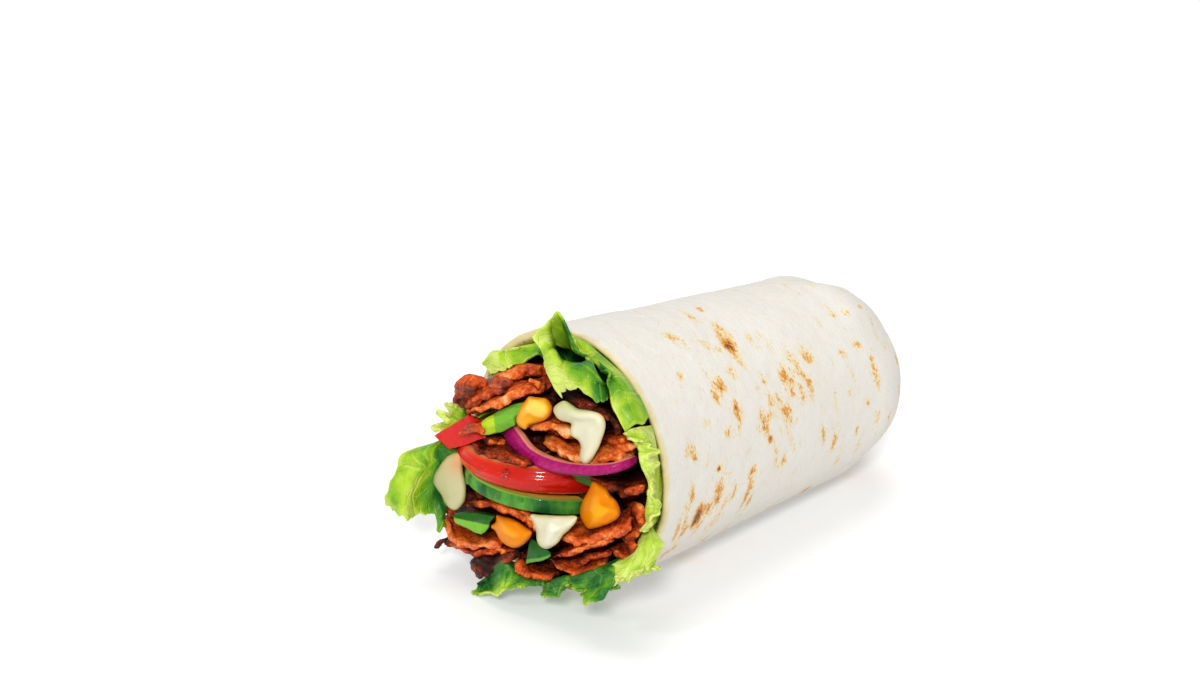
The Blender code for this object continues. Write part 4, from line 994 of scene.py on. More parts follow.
for number, (across, up, out) in enumerate(LOW_SHREDS):
    line = [(across + k, up + 0.2 * k, out) for k in (-5, -1.5, 1.5, 5)]
    back = [(x, y + 1, w - 8) for x, y, w in line]
    sheet, front = strip_sheet("deep_strip", [line, back], 3.0, 970 + number, 0.7)
    parts.append(sheet)
deep = joined(parts, "deep_strips")
modify(deep, "REMESH", mode="VOXEL", voxel_size=DEEP_VOXEL * MM)
relief = lumped(deep, 5.5, 1.9) + lumped(deep, 1.6, 1.7)
set_points(deep, inside_wall(points_of(deep) / MM, 1.5) * MM)
keep(deep, relief=0.5 + relief / 1.6, front=0.2, browned=0.0, wet=0.1)
placed(deep, steak, "steak")

# Tomato: one thick round slice that lies across the middle of the mouth. Its wet, tight skin is the
# broad red band at the front, and its cut faces show the juicy flesh.
TOMATO_RADIUS = 24.0
TOMATO_THICKNESS = 7.2
TOMATO_WEDGE = 0.045
TOMATO_AT = (-7.2, 0.5, -0.6)
TOMATO_FACING = (0.0, 0.15, 1.0)
DISC_COLUMNS = 240


def round_slice(name, profile, centre, facing, seed, uneven, wedge=0.0):
    """A turned slice: its outline runs from the middle of its underside round the skin to the top."""
    rows = len(profile) - 1
    obj, turned, row = new_grid(name, DISC_COLUMNS, rows)
    at = np.rint(row * rows).astype(int)
    reach, height = np.asarray(profile, float)[at].T
    reach = reach * (1 + uneven * wobble(turned, seed, waves=4, first=2))
    angle = TURN * turned
    height = height + 0.25 * wobble(turned, seed + 1, waves=3, first=1) * reach / reach.max()
    height = height - wedge * reach * np.cos(angle - math.radians(25)) * (height > 0)
    disc = np.stack([reach * np.cos(angle), reach * np.sin(angle), height], -1)
    turn = np.array(Vector(facing).to_track_quat("Z", "Y").to_matrix())
    set_points(obj, (disc @ turn.T + at_mouth(centre)) * MM)
    set_attribute(obj, "skin", (reach > reach.max() * 0.93) * 1.0)
    set_attribute(obj, "reach", reach / reach.max())
    set_attribute(obj, "height", height / max(h for r, h in profile))
    return clean(obj)


def rounded_profile(radius, thickness, edge, bulge, steps=7, rings=16):
    """The outline of half a slice: underside, rounded lower edge, bulging skin, upper edge, top."""
    half = thickness / 2
    low = [(radius * i / rings * (1 - edge / radius), -half) for i in range(rings)]
    arc = []
    for i in range(steps + 1):
        turn = -math.pi / 2 + math.pi / 2 * i / steps
        arc.append((radius - edge + edge * math.cos(turn), -half + edge + edge * math.sin(turn)))
    side = [
        (radius + bulge * math.sin(math.pi * i / 6), -half + edge + (thickness - 2 * edge) * i / 6)
        for i in range(1, 6)
    ]
    upper = [(r, -h) for r, h in reversed(arc)]
    return low + arc + side + upper + [(r, -h) for r, h in reversed(low)]


profile = rounded_profile(TOMATO_RADIUS, TOMATO_THICKNESS, 2.2, 0.7)
tomato = round_slice("tomato_round", profile, TOMATO_AT, TOMATO_FACING, 5, 0.008, TOMATO_WEDGE)
points = points_of(tomato) / MM
set_attribute(tomato, "to_right", np.clip((points[:, 0] - 0.5 * points[:, 1] - 20) / 30, 0, 1))
look, tree, shader = new_look("tomato")
red = blend(tree, speckle(tree, 4.0, detail=3.0), (0.52, 0.0070, 0.0035), (0.68, 0.033, 0.009))
# The skin is painted a deeper red towards the right, as painted shade, and lighter orange-red on its upper
# part, less so towards the right, as painted light.
red = blend(tree, stored(tree, "to_right"), red, (0.40, 0.003, 0.002))
painted_light = plus(tree, stored(tree, "height"), times(tree, stored(tree, "to_right"), -0.7))
painted_light = step(tree, painted_light, 0.25, 0.9)
red = blend(tree, painted_light, red, (0.80, 0.17, 0.045))
red = blend(tree, step(tree, speckle(tree, 0.8), 0.62, 0.74, 0, 0.25), red, (0.70, 0.22, 0.06))
juicy = blend(tree, speckle(tree, 2.2, detail=5.0), (0.46, 0.07, 0.0185), (0.666, 0.30, 0.104))
tree.links.new(blend(tree, stored(tree, "skin"), juicy, red), shader.inputs["Base Color"])
surface(
    shader, soft=(0.25, 0.004, 0.0008, 0.0005), roughness=0.34, specular_ior_level=0.07,
    coat_weight=0.38, coat_roughness=0.07,
)
bumped(tree, shader, speckle(tree, 1.2, detail=3.0), 0.10)
placed(tomato, look, "tomato", "tomato_slice")

# Cucumber: one thinner round slice under the tomato, with a mottled dark green skin and pale flesh
# that the tomato's juice has stained orange.
CUCUMBER_RADIUS = 22.0
CUCUMBER_THICKNESS = 4.0
CUCUMBER_AT = (-6.0, -5.7, 1.1)
CUCUMBER_FACING = (0.02, 0.14, 1.0)
profile = rounded_profile(CUCUMBER_RADIUS, CUCUMBER_THICKNESS, 0.55, 0.25)
cucumber = round_slice("cucumber_round", profile, CUCUMBER_AT, CUCUMBER_FACING, 9, 0.010)
look, tree, shader = new_look("cucumber")
where = stretched(tree, node(tree, "TexCoord").outputs["Object"], (1, 1, 0.22))
stripes = speckle(tree, 2.6, where, detail=3.0)
green = blend(tree, step(tree, stripes, 0.38, 0.66), (0.0065, 0.085, 0.012), (0.075, 0.29, 0.026))
green = blend(tree, step(tree, speckle(tree, 1.4), 0.50, 0.70, 0, 0.6), green, (0.013, 0.155, 0.026))
green = blend(tree, step(tree, stored(tree, "height"), 0.84, 1.0), green, (0.22, 0.34, 0.045))
flesh = blend(tree, speckle(tree, 2.4, detail=4.0), (0.66, 0.27, 0.025), (0.74, 0.42, 0.06))
seeds = step(tree, stored(tree, "reach"), 0.45, 0.75, 0.6, 0.0)
flesh = blend(tree, seeds, flesh, (0.459, 0.488, 0.222))
tree.links.new(blend(tree, stored(tree, "skin"), flesh, green), shader.inputs["Base Color"])
surface(
    shader, soft=(0.15, 0.0012, 0.002, 0.0006), roughness=0.40, specular_ior_level=0.12,
    coat_weight=0.2, coat_roughness=0.08,
)
bumped(tree, shader, plus(tree, speckle(tree, 1.0, detail=3.0), times(tree, stripes, 0.6)), 0.16)
placed(cucumber, look, "cucumber", "cucumber_slice")

# Red onion: part of one ring, a band that stands on its edge and curves round under the steak. Its
# skin side is glossy magenta with fine streaks along it; its upper edge and inside are pale pink.
ONION_UPPER = [
    (-5.8, 14.6, 14), (-2.8, 13.8, 15), (-0.6, 13.2, 15.6), (2, 11.9, 16), (5, 10.9, 16.2),
    (9.4, 10.6, 16.2), (15.1, 10.9, 15.8), (20.1, 11.8, 15.4), (26.2, 13.2, 14.4), (30.5, 14.3, 11.6),
    (32.2, 14.8, 7.5), (31, 14.1, 3.5),
]
ONION_LOWER = [
    (-11.1, 10.3, 12.6), (-9.8, 9.2, 13.4), (-7.9, 7.8, 14.2), (-4.4, 7.2, 15.2), (0.3, 6.4, 16),
    (5.8, 6.3, 16.4), (11.4, 6.8, 16.4), (17.9, 8.2, 16.2), (24.7, 9.8, 15.2), (30.3, 11.3, 12.6),
    (32.2, 11.9, 8.6), (31.7, 11.8, 4.5),
]
ONION_THICKNESS = 2.3
ONION_AROUND = 36
ONION_SQUARED = 0.45

onion, turned, t = new_grid("onion_ring_part", ONION_AROUND, 150)
angle = TURN * turned
upper, lower = at_mouth(through(ONION_UPPER, t)), at_mouth(through(ONION_LOWER, t))
ahead = at_mouth(through(ONION_LOWER, np.minimum(t + 0.02, 1)))
ahead = ahead - at_mouth(through(ONION_LOWER, np.maximum(t - 0.02, 0)))
facing = np.cross(ahead, upper - lower)
facing /= np.linalg.norm(facing, axis=1, keepdims=True)
end = np.sqrt(np.clip(1 - (np.maximum(0, np.abs(t - 0.5) - 0.48) / 0.02) ** 2, 0, 1))
rise = np.sign(np.sin(angle)) * np.abs(np.sin(angle)) ** ONION_SQUARED
thick = np.sign(np.cos(angle)) * np.abs(np.cos(angle)) ** ONION_SQUARED * ONION_THICKNESS / 2 * end
bulge = 0.4 * (1 - rise**2) - ONION_THICKNESS / 2
swung = rise * end * (1 + 0.03 * wobble(t, 4, waves=5, first=2))
ring = (upper + lower) / 2 + (upper - lower) / 2 * swung[:, None]
set_points(onion, (ring + facing * (thick + bulge)[:, None]) * MM)
set_attribute(onion, "skin", np.cos(angle))
set_attribute(onion, "rise", rise)
clean(onion)
look, tree, shader = new_look("red_onion")
spread = stretched(tree, node(tree, "UVMap", uv_map="UVMap").outputs[0], (0.006, 0.050, 1))
streaks = speckle(tree, 0.4, spread, detail=4.0)
magenta = blend(tree, step(tree, streaks, 0.30, 0.72), (0.25, 0.0015, 0.066), (0.45, 0.0075, 0.168))
magenta = blend(tree, step(tree, stored(tree, "rise"), -0.3, -0.85, 0, 0.6), magenta, (0.15, 0.002, 0.044))
# The pale flesh is tinted orange and darkened, partly by oil and partly as painted shade.
pale = blend(tree, speckle(tree, 1.5), (0.56, 0.12, 0.065), (0.70, 0.34, 0.19))
top = step(tree, stored(tree, "rise"), 0.86, 0.97)
lower = step(tree, stored(tree, "rise"), -0.90, -0.98)
inner = step(tree, stored(tree, "skin"), 0.50, 0.30)
paled = node(tree, "Math", {0: top, 1: inner}, operation="MAXIMUM").outputs[0]
paled = node(tree, "Math", {0: paled, 1: lower}, operation="MAXIMUM").outputs[0]
tree.links.new(blend(tree, paled, magenta, pale), shader.inputs["Base Color"])
surface(
    shader, soft=(0.2, 0.002, 0.0006, 0.0012), roughness=0.36, specular_ior_level=0.12,
    coat_weight=0.2, coat_roughness=0.08,
)
bumped(tree, shader, streaks, 0.12)
placed(onion, look, "red_onion", "red_onion_ring")

# Peppers: short pieces cut from the walls of a green and a red pepper. Each is a thick, crisp block
# with clean cut sides; its skin is dark and glossy, and its cut sides are paler.
OUTWARD = np.array((0.6586, -0.6517, 0.3762))
SIDEWAYS = np.array((0.7034, 0.7108, 0.0))
UPWARD = np.cross(OUTWARD, SIDEWAYS)
CUT_VOXEL = 0.28


def cut_piece(name, slot, node_name, look, rows, depth, edge, seed):
    """A block of pepper: its shown side goes through the rows, and its colour changes at the edge."""
    obj, t, s = new_grid(name, len(rows[0]) - 1, len(rows) - 1)
    column = np.rint(t * (len(rows[0]) - 1)).astype(int)
    line = np.rint(s * (len(rows) - 1)).astype(int)
    set_points(obj, at_mouth(rows)[line, column] * MM)
    bpy.ops.object.mode_set(mode="EDIT")
    bpy.ops.mesh.select_all(action="SELECT")
    bpy.ops.mesh.extrude_region_move(TRANSFORM_OT_translate={"value": -OUTWARD * depth * MM})
    bpy.ops.object.mode_set(mode="OBJECT")
    clean(obj)
    modify(obj, "REMESH", mode="VOXEL", voxel_size=CUT_VOXEL * MM)
    modify(obj, "SMOOTH", factor=0.5, iterations=2)
    roughen(obj, 5.0 + 0.1 * seed, 0.5)
    flat = points_of(obj) / MM @ np.stack([SIDEWAYS, UPWARD], 1)
    start, end = at_mouth(edge) @ np.stack([SIDEWAYS, UPWARD], 1)
    along = (end - start) / np.linalg.norm(end - start)
    set_attribute(obj, "cut", (flat - start) @ np.array((-along[1], along[0])))
    set_attribute(obj, "beyond", (flat - start) @ along - np.linalg.norm(end - start))
    set_attribute(obj, "skin", normals_of(obj) @ OUTWARD)
    placed(obj, look, slot, node_name)


def pepper_look(name, skin, other, cut, end):
    """Glossy pepper: skin in two shades, a cut side to the left of the edge and an end beyond it."""
    look, tree, shader = new_look(name)
    mottled = blend(tree, speckle(tree, 2.5, detail=3.0), skin, other)
    fresh = blend(tree, speckle(tree, 1.4, detail=4.0), cut, tuple(0.82 * c for c in cut))
    uneven = times(tree, plus(tree, speckle(tree, 2.0), -0.5), 0.8)
    tint = blend(tree, step(tree, plus(tree, stored(tree, "cut"), uneven), -0.2, 0.2), mottled, fresh)
    tint = blend(tree, step(tree, plus(tree, stored(tree, "beyond"), uneven), -0.2, 0.3), tint, end)
    tree.links.new(tint, shader.inputs["Base Color"])
    surface(
        shader, soft=(0.2, 0.0015, 0.0015, 0.0005), roughness=0.34, specular_ior_level=0.1,
        coat_weight=0.22, coat_roughness=0.07,
    )
    bumped(tree, shader, speckle(tree, 1.0, detail=3.0), 0.10)
    return look


cut_piece(
    "light_pepper_piece", "green_pepper", "green_pepper_light",
    pepper_look(
        "pepper_light", (0.105, 0.34, 0.022), (0.20, 0.46, 0.030), (0.43, 0.62, 0.020), (0.13, 0.36, 0.03),
    ), [
    [(-12.5, 13.9, 19.3), (-10.4, 15.9, 18.4), (-9, 17, 17.2), (-7.1, 18.7, 16), (-3.9, 20.6, 15),
     (0.1, 22.4, 14)],
    [(-11.5, 13.9, 20), (-8.8, 15.9, 19.2), (-7.5, 16.8, 18.2), (-5.3, 18.5, 17), (-2.5, 20.5, 16),
     (0.1, 21.2, 15)],
    [(-11.1, 12.8, 20), (-8.3, 14.1, 19.4), (-6.6, 15.2, 18.6), (-3.9, 16.8, 17.8), (-1.6, 18.6, 16.6),
     (-0.6, 19.3, 15.6)],
    [(-11, 10.9, 19.3), (-9, 11.6, 18.6), (-7.2, 12.5, 17.8), (-5.5, 13, 17), (-1.9, 15.7, 15.8),
     (-2.3, 16.7, 15)],
], depth=6.5, edge=[(-7.7, 12.1, 17.5), (-8.4, 16.9, 17.5)], seed=1)
cut_piece(
    "left_pepper_piece", "green_pepper", "green_pepper_left",
    pepper_look(
        "pepper_dark", (0.010, 0.085, 0.010), (0.022, 0.14, 0.014), (0.16, 0.44, 0.020),
        (0.010, 0.055, 0.010),
    ), [
    [(-23.1, -16.6, 20), (-19.2, -14.7, 20), (-14.2, -12.9, 20), (-9.2, -11.6, 20), (-6.3, -11.3, 19.5)],
    [(-21.8, -16.9, 21), (-17.1, -15.5, 21.5), (-12.9, -14.3, 21.5), (-8.8, -12.5, 21.5),
     (-7, -12.5, 20.5)],
    [(-21.5, -17.8, 21), (-17.2, -17.2, 21.5), (-13.4, -17.1, 21.5), (-10.1, -16.3, 21.5),
     (-7.9, -14.9, 20.5)],
    [(-21.8, -18.6, 20.5), (-17.4, -18.2, 21), (-13.6, -18.1, 21), (-10.7, -17.8, 21), (-9.6, -17, 20.5)],
], depth=5.5, edge=[(-9.2, -13.9, 21.5), (-22, -16.9, 21)], seed=2)
cut_piece(
    "low_pepper_piece", "green_pepper", "green_pepper_low",
    pepper_look(
        "pepper_deep", (0.012, 0.080, 0.014), (0.024, 0.125, 0.018), (0.10, 0.33, 0.03), (0.10, 0.33, 0.03),
    ), [
    [(5.3, -14.2, 17.5), (8.1, -14.7, 17.5), (11.2, -15, 17.5), (12.6, -16.2, 17)],
    [(5.4, -16.6, 18.5), (7.9, -17.1, 18.5), (10.5, -16.8, 18.3), (13.1, -16.5, 17.6)],
    [(5.1, -19.2, 19), (7.3, -19, 19), (10, -18.3, 19), (12.5, -17.3, 18)],
    [(4.8, -21.7, 19), (7.4, -20.3, 19.2), (9.8, -19, 19.2), (11.2, -18.3, 18.6)],
], depth=3.5, edge=[(14.2, -15.7, 18.5), (4.6, -20.6, 19)], seed=3)
cut_piece(
    "inner_pepper_piece", "green_pepper", "green_pepper_inner",
    pepper_look(
        "pepper_inner", (0.02, 0.12, 0.016), (0.03, 0.17, 0.02), (0.05, 0.2, 0.02), (0.03, 0.12, 0.02),
    ), [
    [(11.5, 7.2, 10.5), (15.5, 6.6, 9.6), (19.5, 5.6, 8.2)],
    [(11.5, 5.4, 10.8), (15.5, 4.8, 9.9), (19.5, 3.9, 8.4)],
    [(11.5, 3.8, 10.5), (15.5, 3.1, 9.6), (19.5, 2.3, 8.2)],
], depth=3.5, edge=[(11, 2, 10), (20, 1, 8)], seed=4)
cut_piece(
    "red_pepper_piece", "red_pepper", "red_pepper_left",
    pepper_look(
        "pepper_red", (0.48, 0.0040, 0.0022), (0.60, 0.0080, 0.0035), (0.40, 0.004, 0.003),
        (0.38, 0.004, 0.003),
    ), [
    [(-30.2, 4.7, 20), (-23.7, 9.7, 19.5), (-17, 14.8, 19), (-13.5, 14.2, 18)],
    [(-26.5, 4, 20.5), (-20.1, 8.6, 20), (-13.8, 12.4, 19.5), (-11.7, 12.1, 18.5)],
    [(-23.5, 3, 20.5), (-16.6, 6.5, 20.5), (-11.4, 9.8, 20), (-9.9, 10.4, 19)],
], depth=6.5, edge=[(-34, 3.5, 20), (-16.8, 16.2, 19)], seed=5)

# Sauces: spoonfuls of thick orange cheese sauce and of a thick white sauce, squeezed on last. They
# swell out from the filling, sag a little, fold over themselves and keep a smooth, soft gloss.
SAUCE_VOXEL = 0.42
STAIN_SIZE = 3.2


def sauce_look(name, edge, full, crest_highlight, radius, gloss=0.25, stain=(0.62, 0.22, 0.05)):
    """Smooth, soft sauce, deeper in colour where it is thin and paler where it is thick. The paler middle is
    partly a painted highlight, and the raised crests are painted paler still, as painted highlights.
    """
    look, tree, shader = new_look(name)
    thick = varied(tree, stored(tree, "thick"), speckle(tree, 4.0, detail=2.0), 0.5)
    tint = blend(tree, step(tree, thick, 0.15, 0.75), edge, full)
    tint = blend(tree, step(tree, stored(tree, "raised"), 0.45, 1.0), tint, crest_highlight)
    tint = blend(tree, times(tree, stored(tree, "stained"), 0.6), tint, stain)
    tree.links.new(tint, shader.inputs["Base Color"])
    surface(
        shader, soft=(0.35, *radius), roughness=0.34, specular_ior_level=0.4 * gloss,
        coat_weight=gloss, coat_roughness=0.07,
    )
    bumped(tree, shader, speckle(tree, 3.5, detail=2.0), 0.10)
    return look


cheddar = sauce_look(
    "cheddar_sauce", (0.54, 0.120, 0.0006), (0.67, 0.200, 0.0006), (0.80, 0.33, 0.006),
    (0.0022, 0.0008, 0.0001), 0.13,
)
golden = sauce_look(
    "golden_sauce", (0.66, 0.19, 0.0015), (0.80, 0.33, 0.004), (0.84, 0.52, 0.08), (0.0022, 0.0009, 0.0001),
)
creamy = sauce_look(
    "white_sauce", (0.50, 0.46, 0.21), (0.62, 0.59, 0.42), (0.70, 0.68, 0.55), (0.0022, 0.0022, 0.0014),
    stain=(0.36, 0.42, 0.08),
)
# A darker copy of the white sauce, for the left spoonful: partly oilier, partly painted shade.
oily_and_shaded = sauce_look(
    "oily_and_shaded_white_sauce", (0.34, 0.31, 0.09), (0.47, 0.44, 0.24), (0.64, 0.62, 0.46), (0.0022, 0.0022, 0.0014),
)


def least_distance(points, line):
    """How far each flat point is from the nearest place on a line of flat points."""
    start, along = line[:-1], np.diff(line, axis=0)
    off = points[:, None] - start
    share = np.clip((off * along).sum(-1) / np.maximum((along**2).sum(-1), 1e-9), 0, 1)
    return np.sqrt(((off - share[..., None] * along) ** 2).sum(-1)).min(1)


def spoonful(
    name, node_name, look, slot, outline, ridges, creases=(), dome=2.0, swell=4.0, stain=(0, 60, 0),
    depth=5.0,
):
    """Thick sauce: its outline, swollen outwards, with ridges and creases as (height, width, line)."""
    closed = [*outline[-2:], *outline, *outline[:3]]
    shares = (2 + len(outline) * np.arange(200) / 200) / (len(closed) - 1)
    edge = at_mouth(through(closed, shares))
    bpy.ops.object.select_all(action="DESELECT")
    bpy.ops.mesh.primitive_circle_add(vertices=200, fill_type="NGON")
    obj = bpy.context.object
    obj.name = obj.data.name = name
    set_points(obj, edge * MM)
    bpy.ops.object.mode_set(mode="EDIT")
    bpy.ops.mesh.select_all(action="SELECT")
    bpy.ops.mesh.extrude_region_move(TRANSFORM_OT_translate={"value": -OUTWARD * depth * MM})
    bpy.ops.object.mode_set(mode="OBJECT")
    clean(obj)
    modify(obj, "REMESH", mode="VOXEL", voxel_size=SAUCE_VOXEL * MM)
    modify(obj, "SMOOTH", factor=0.5, iterations=6)
    flat_axes = np.stack([SIDEWAYS, UPWARD], 1)
    points = points_of(obj) / MM
    flat, flat_edge = points @ flat_axes, edge @ flat_axes
    inside = np.zeros(len(flat), bool)
    for (x0, y0), (x1, y1) in zip(flat_edge, np.roll(flat_edge, -1, axis=0)):
        spans = (y0 > flat[:, 1]) != (y1 > flat[:, 1])
        inside ^= spans & (flat[:, 0] < x0 + (flat[:, 1] - y0) * (x1 - x0) / (y1 - y0 + 1e-12))
    rim = least_distance(flat, np.concatenate([flat_edge, flat_edge[:1]])) * inside
    weight = 1 / (((flat[:, None] - flat_edge) ** 2).sum(-1) + 1)
    face = (weight * (edge @ OUTWARD)).sum(1) / weight.sum(1)
    outer = np.clip((points @ OUTWARD - face) / depth + 1, 0, 1)
    full = np.sqrt(1 - (1 - np.minimum(rim / swell, 1)) ** 2)
    raised = dome * full
    for height, width, line in ridges:
        ridge = at_mouth(through(line, np.linspace(0, 1, 24))) @ flat_axes
        raised = raised + height * np.exp(-((least_distance(flat, ridge) / width) ** 2)) * full
    for height, width, line in creases:
        crease = at_mouth(through(line, np.linspace(0, 1, 24))) @ flat_axes
        raised = raised - height * np.exp(-((least_distance(flat, crease) / width) ** 2)) * full
    set_attribute(obj, "thick", full)
    stain_off = ((flat - at_mouth(stain) @ flat_axes) ** 2).sum(1)
    set_attribute(obj, "stained", np.exp(-stain_off / STAIN_SIZE**2))
    # The crests' heights, which the material paints paler as painted highlights.
    set_attribute(obj, "raised", (raised - dome * full) / 1.6)
    out = raised * outer - depth * (1 - outer) * (0.3 + 0.7 * full)
    points += OUTWARD * (face + out - points @ OUTWARD)[:, None]
    set_points(obj, points * MM)
    modify(obj, "SMOOTH", factor=0.5, iterations=6)
    roughen(obj, 6.0, 0.7)
    modify(obj, "SMOOTH", factor=0.5, iterations=3)
    placed(obj, look, slot, node_name)


spoonful("cheese_sauce_top", "cheddar_top", golden, "cheddar_sauce", [
    (2.9, 25.3, 15.5), (4.7, 25.7, 15.5), (6.9, 26.1, 15), (8.6, 26.4, 14.5), (10, 25.7, 14.5),
    (10.9, 24.6, 14.5), (10.9, 23.3, 14.8), (10.3, 21.9, 15), (9.1, 20.6, 15.5), (7, 19.4, 16),
    (5.3, 18.7, 16.5), (4.6, 18.2, 17), (3.4, 16.5, 17), (1.7, 16.5, 17), (0.1, 17, 17), (-0.4, 17.9, 17),
    (0, 19.4, 17), (0.8, 21.4, 17), (1.6, 23, 16.5), (2.7, 24.4, 16),
], ridges=[(2.2, 3.2, [(5.2, 24.1, 16), (7, 23.5, 16), (8.3, 22.9, 16)]),
             (0.8, 2.2, [(1.4, 20.1, 17), (1.4, 18, 17), (2.6, 17.5, 17)])],
    creases=[(1.6, 0.8, [(4.4, 20.3, 17), (5.4, 19.9, 17), (6.3, 19.6, 16.5), (7.6, 19.8, 16)])], dome=2.2)
spoonful("cheese_sauce_right", "cheddar_right", cheddar, "cheddar_sauce", [
    (22.7, 6.5, 12), (21.9, 3.8, 12), (20.3, 0.6, 12.5), (19.7, -1.7, 13), (20, -3.7, 13.5),
    (21.7, -5.2, 14), (23.3, -6.2, 14), (26.2, -5, 14), (29.7, -2.9, 13.5), (32.4, -0.8, 13),
    (33.6, 1, 12.5), (32.8, 2.6, 12), (31.4, 4.4, 12), (29.6, 5.1, 12), (28.5, 6.4, 12), (26.3, 6.8, 12),
    (24.5, 7, 12),
], ridges=[(1.2, 2.6, [(25.2, 3.1, 13), (25.3, -0.1, 13.5), (26.2, -2.4, 14)]),
             (1.2, 1.6, [(27.4, 0.5, 13), (30.6, 1.9, 13), (32.9, 1.7, 12.5)])],
    creases=[(0.9, 0.9, [(28.1, 3, 13), (30.4, 2.8, 12.5), (32.1, 2.9, 12)])], dome=2.4)
spoonful("cheese_sauce_low", "cheddar_low", cheddar, "cheddar_sauce", [
    (-5.7, -10.5, 20), (-2.1, -9.6, 20.5), (1.7, -8.8, 21), (4.5, -8.8, 21), (7, -9.4, 21), (9.6, -9.5, 21),
    (9.3, -10.9, 21), (7.5, -13.3, 21), (5.1, -15.6, 21), (2.8, -16.7, 21.5), (0, -17, 21.5),
    (-2.9, -16.8, 21), (-4.3, -15.6, 21), (-5.7, -14.9, 20.5), (-7.7, -15.2, 20), (-7.8, -14.3, 20),
    (-6, -12.9, 20), (-5.4, -11.6, 20),
], ridges=[(1.4, 2.6, [(-2.4, -11.5, 21), (1.9, -12.3, 22), (5.1, -12.4, 22)])],
    creases=[(0.6, 1, [(0.2, -14.4, 22), (3.5, -13.9, 22), (6.1, -12.5, 21.5)])], dome=2.2, depth=8.0)
spoonful("white_sauce_top", "white_top", creamy, "white_sauce", [
    (11.2, 23.6, 14.5), (12.3, 25.6, 14.5), (15.2, 27.7, 14.5), (18.1, 27.4, 14.5), (20.3, 26.9, 14.5),
    (23.2, 27.5, 14.5), (26, 28, 14.5), (28.9, 27.4, 14), (29.4, 24.7, 13.5), (28.2, 21.3, 13.5),
    (26.8, 17.5, 13.5), (24.8, 14.1, 13.5), (22.5, 11.8, 13.5), (20.8, 11.8, 13.5), (19.9, 13.3, 13.5),
    (20.5, 16.1, 13.5), (19.7, 18.1, 14), (18.1, 18.6, 14.5), (17.5, 20.3, 14.5), (18.5, 22.5, 14.5),
    (15.9, 22, 14.5), (13, 21.9, 14.5),
], ridges=[(1.3, 1.8,
             [(13.9, 24.6, 15), (17.2, 25.6, 15), (20.8, 25.4, 15), (25.1, 26.6, 15), (28, 26.2, 15)]),
             (1, 1.8, [(25.1, 22.8, 15), (23.9, 18.8, 14.5), (23, 14.5, 14)])],
    creases=[(1.2, 0.8, [(17.6, 22.2, 14.5), (20.4, 23.4, 14.5), (23.3, 24.4, 14.5), (25.6, 25, 14.5)])],
    dome=1.9, stain=(17, 27.6, 15))
spoonful("white_sauce_left", "white_left", oily_and_shaded, "white_sauce", [
    (-21.2, 2.8, 20), (-24.1, 1.1, 20), (-25.8, -0.5, 20), (-28.4, -3.8, 20), (-30.6, -6.9, 20),
    (-31, -9.5, 20), (-29.7, -11.1, 20), (-27.9, -12.6, 20), (-26.4, -14.5, 20), (-24.7, -15.4, 20),
    (-22.4, -15.2, 20), (-20.4, -13.7, 20), (-18.4, -10.8, 20), (-17.7, -7.8, 20), (-18.4, -5.3, 19.5),
    (-19.3, -2.6, 19.5), (-19.4, -0.6, 19.5), (-18.8, 1.6, 19.5), (-19.9, 2.8, 19.5),
], ridges=[(0.6, 3.2, [(-25.4, -3.7, 20), (-26.8, -6.8, 20.5), (-24.9, -11, 20.5)])], dome=1.5,
    stain=(-20.2, 0, 20.5))
spoonful("white_sauce_low", "white_low", creamy, "white_sauce", [
    (7.2, -5.8, 19.5), (10.4, -4.9, 19.5), (15.8, -3.1, 19.5), (20.6, -1.7, 19), (24, -0.7, 18.5),
    (23.9, -2, 18.5), (22.8, -3.9, 18.5), (21.4, -5.7, 19), (19.8, -7.5, 19.5), (18.4, -9.8, 19.5),
    (16.5, -11.8, 19.5), (13.7, -13.6, 19.5), (11.2, -13.9, 19.5), (9.8, -12.7, 19.5), (9.7, -10.7, 19.5),
    (9.1, -8.9, 19.5), (8.2, -7.3, 19.5),
], ridges=[(1, 1.2, [(16.1, -3.8, 20.5), (16.3, -5.5, 20.5), (17, -6.5, 21)]),
             (1.1, 1.3, [(17, -6.5, 21), (19.1, -5.2, 20.5), (23, -3.4, 19.5)]),
             (1.2, 1.6, [(17, -6.5, 21), (15.2, -9.4, 20.5), (14.8, -11.4, 20.5)])],
    dome=1.8)

# Droplets: beads of the tomato's juice on the skins of the tomato and the cucumber. Each is a small,
# clear, flattened drop, partly sunk in the skin that it clings to.
DROPLETS = [
    (0.7, 4.4, 21.7, 1.35, (0.29, -0.79, 0.55)), (-8.1, 3.0, 23.8, 0.6, (-0.04, -0.96, 0.27)),
    (-6.5, 4.7, 23.0, 0.45, (0.04, -0.97, 0.26)), (-16.3, -3.9, 20.6, 0.8, (-0.46, -0.88, -0.12)),
    (-1.6, -2.2, 22.6, 0.8, (0.21, -0.96, 0.2)), (4.6, -2.3, 20.1, 0.6, (0.49, -0.82, 0.29)),
]
juice, tree, shader = new_look("clear_juice")
surface(shader, base_color=(1.0, 0.93, 0.86, 1), roughness=0.03, ior=1.34, transmission_weight=1.0)
bumped(tree, shader, speckle(tree, 1.0, detail=1.0), 0.01)
drops = []
for across, up, out, size, facing in DROPLETS:
    bpy.ops.object.select_all(action="DESELECT")
    bpy.ops.mesh.primitive_uv_sphere_add(segments=32, ring_count=16, radius=1)
    drop = bpy.context.object
    dome = points_of(drop) * (1.2 * size, 1.2 * size, size)
    turn = np.array(Vector(facing).to_track_quat("Z", "Y").to_matrix())
    set_points(drop, (dome @ turn.T + at_mouth((across, up, out))) * MM)
    drops.append(drop)
placed(joined(drops, "juice_droplets"), juice, "tomato")

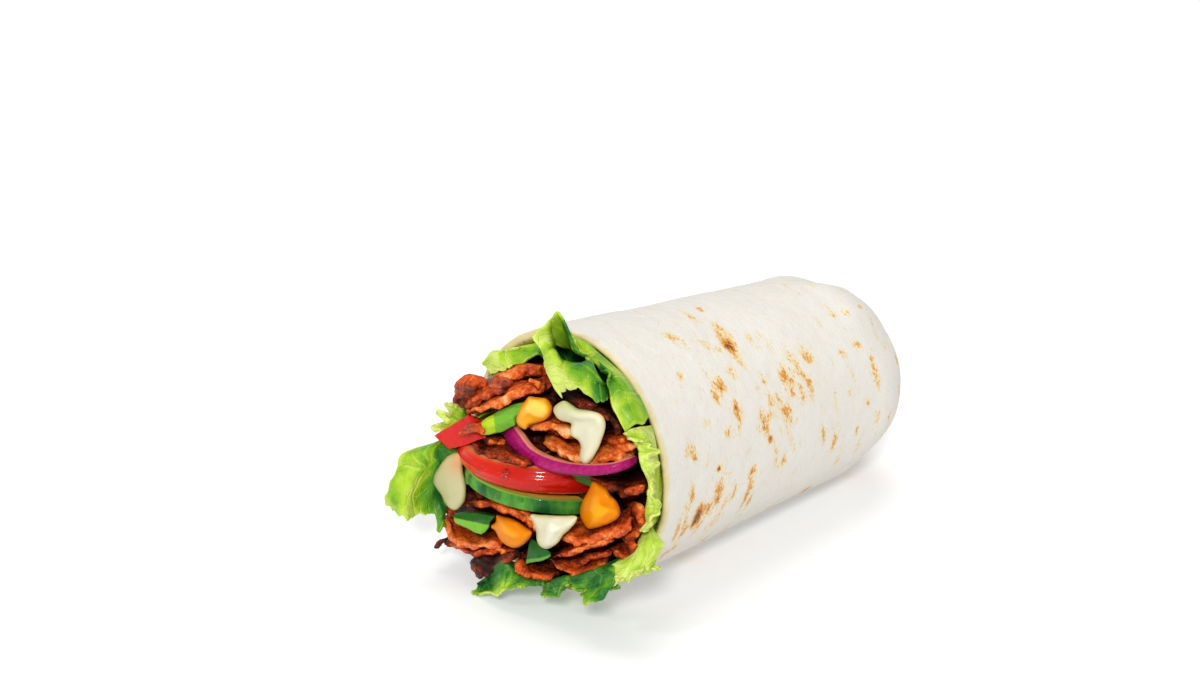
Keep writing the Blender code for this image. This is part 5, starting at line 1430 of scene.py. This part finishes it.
# The studio: a white, softly lit table and a white sky. The main lamp shines on the mouth from high at
# the right, a weak one fills in from the left, and a broad soft one shines down from above. Of the
# three, only the main lamp shows in reflections.
LENS = 63.26
CAMERA_AT = Vector((371.57, -402.17, 280.52)) * MM
CAMERA_FACING = Vector((-0.65858, 0.65172, -0.37622))
LAMPS = {
    "front_lamp": ((0.52, -0.62, 0.58), 2.3, 10),
    "left_lamp": ((-0.30, -0.76, 0.58), 0.5, 7),
    "top_lamp": ((-0.20, 0.15, 0.97), 1.3, 36),
}
TABLE_GLOW = 0.26
TABLE_SIZE = 12
SKY_STRENGTH = 0.46
SENSOR_WIDTH = 36

bpy.ops.object.select_all(action="DESELECT")
bpy.ops.mesh.primitive_plane_add(size=TABLE_SIZE)
table = bpy.context.object
table.name = "table"
look, tree, shader = new_look("white_table")
grain = blend(tree, speckle(tree, 60.0), (0.65, 0.65, 0.65), (0.67, 0.67, 0.67))
tree.links.new(grain, shader.inputs["Base Color"])
shader.inputs["Roughness"].default_value = 0.9
shader.inputs["Specular IOR Level"].default_value = 0.1
shader.inputs["Emission Color"].default_value = (1, 1, 1, 1)
shader.inputs["Emission Strength"].default_value = TABLE_GLOW
table.data.materials.append(look)

world = bpy.data.worlds.new("sky")
world.use_nodes = True
world.node_tree.nodes["Background"].inputs["Color"].default_value = (1, 1, 1, 1)
world.node_tree.nodes["Background"].inputs["Strength"].default_value = SKY_STRENGTH
bpy.context.scene.world = world

for name, (shines_from, strength, width) in LAMPS.items():
    lamp = bpy.data.objects.new(name, bpy.data.lights.new(name, "SUN"))
    lamp.data.energy = strength
    lamp.data.angle = math.radians(width)
    lamp.rotation_euler = Vector(shines_from).to_track_quat("Z", "Y").to_euler()
    lamp.visible_glossy = name == "front_lamp"
    bpy.context.scene.collection.objects.link(lamp)

camera = bpy.data.objects.new("camera", bpy.data.cameras.new("camera"))
camera.data.lens = LENS
camera.data.sensor_width = SENSOR_WIDTH
camera.data.clip_start = 0.01
camera.location = CAMERA_AT
camera.rotation_euler = CAMERA_FACING.to_track_quat("-Z", "Y").to_euler()
bpy.context.scene.collection.objects.link(camera)
bpy.context.scene.camera = camera
bpy.context.scene.view_settings.view_transform = "Standard"
bpy.context.scene.cycles.use_denoising = True
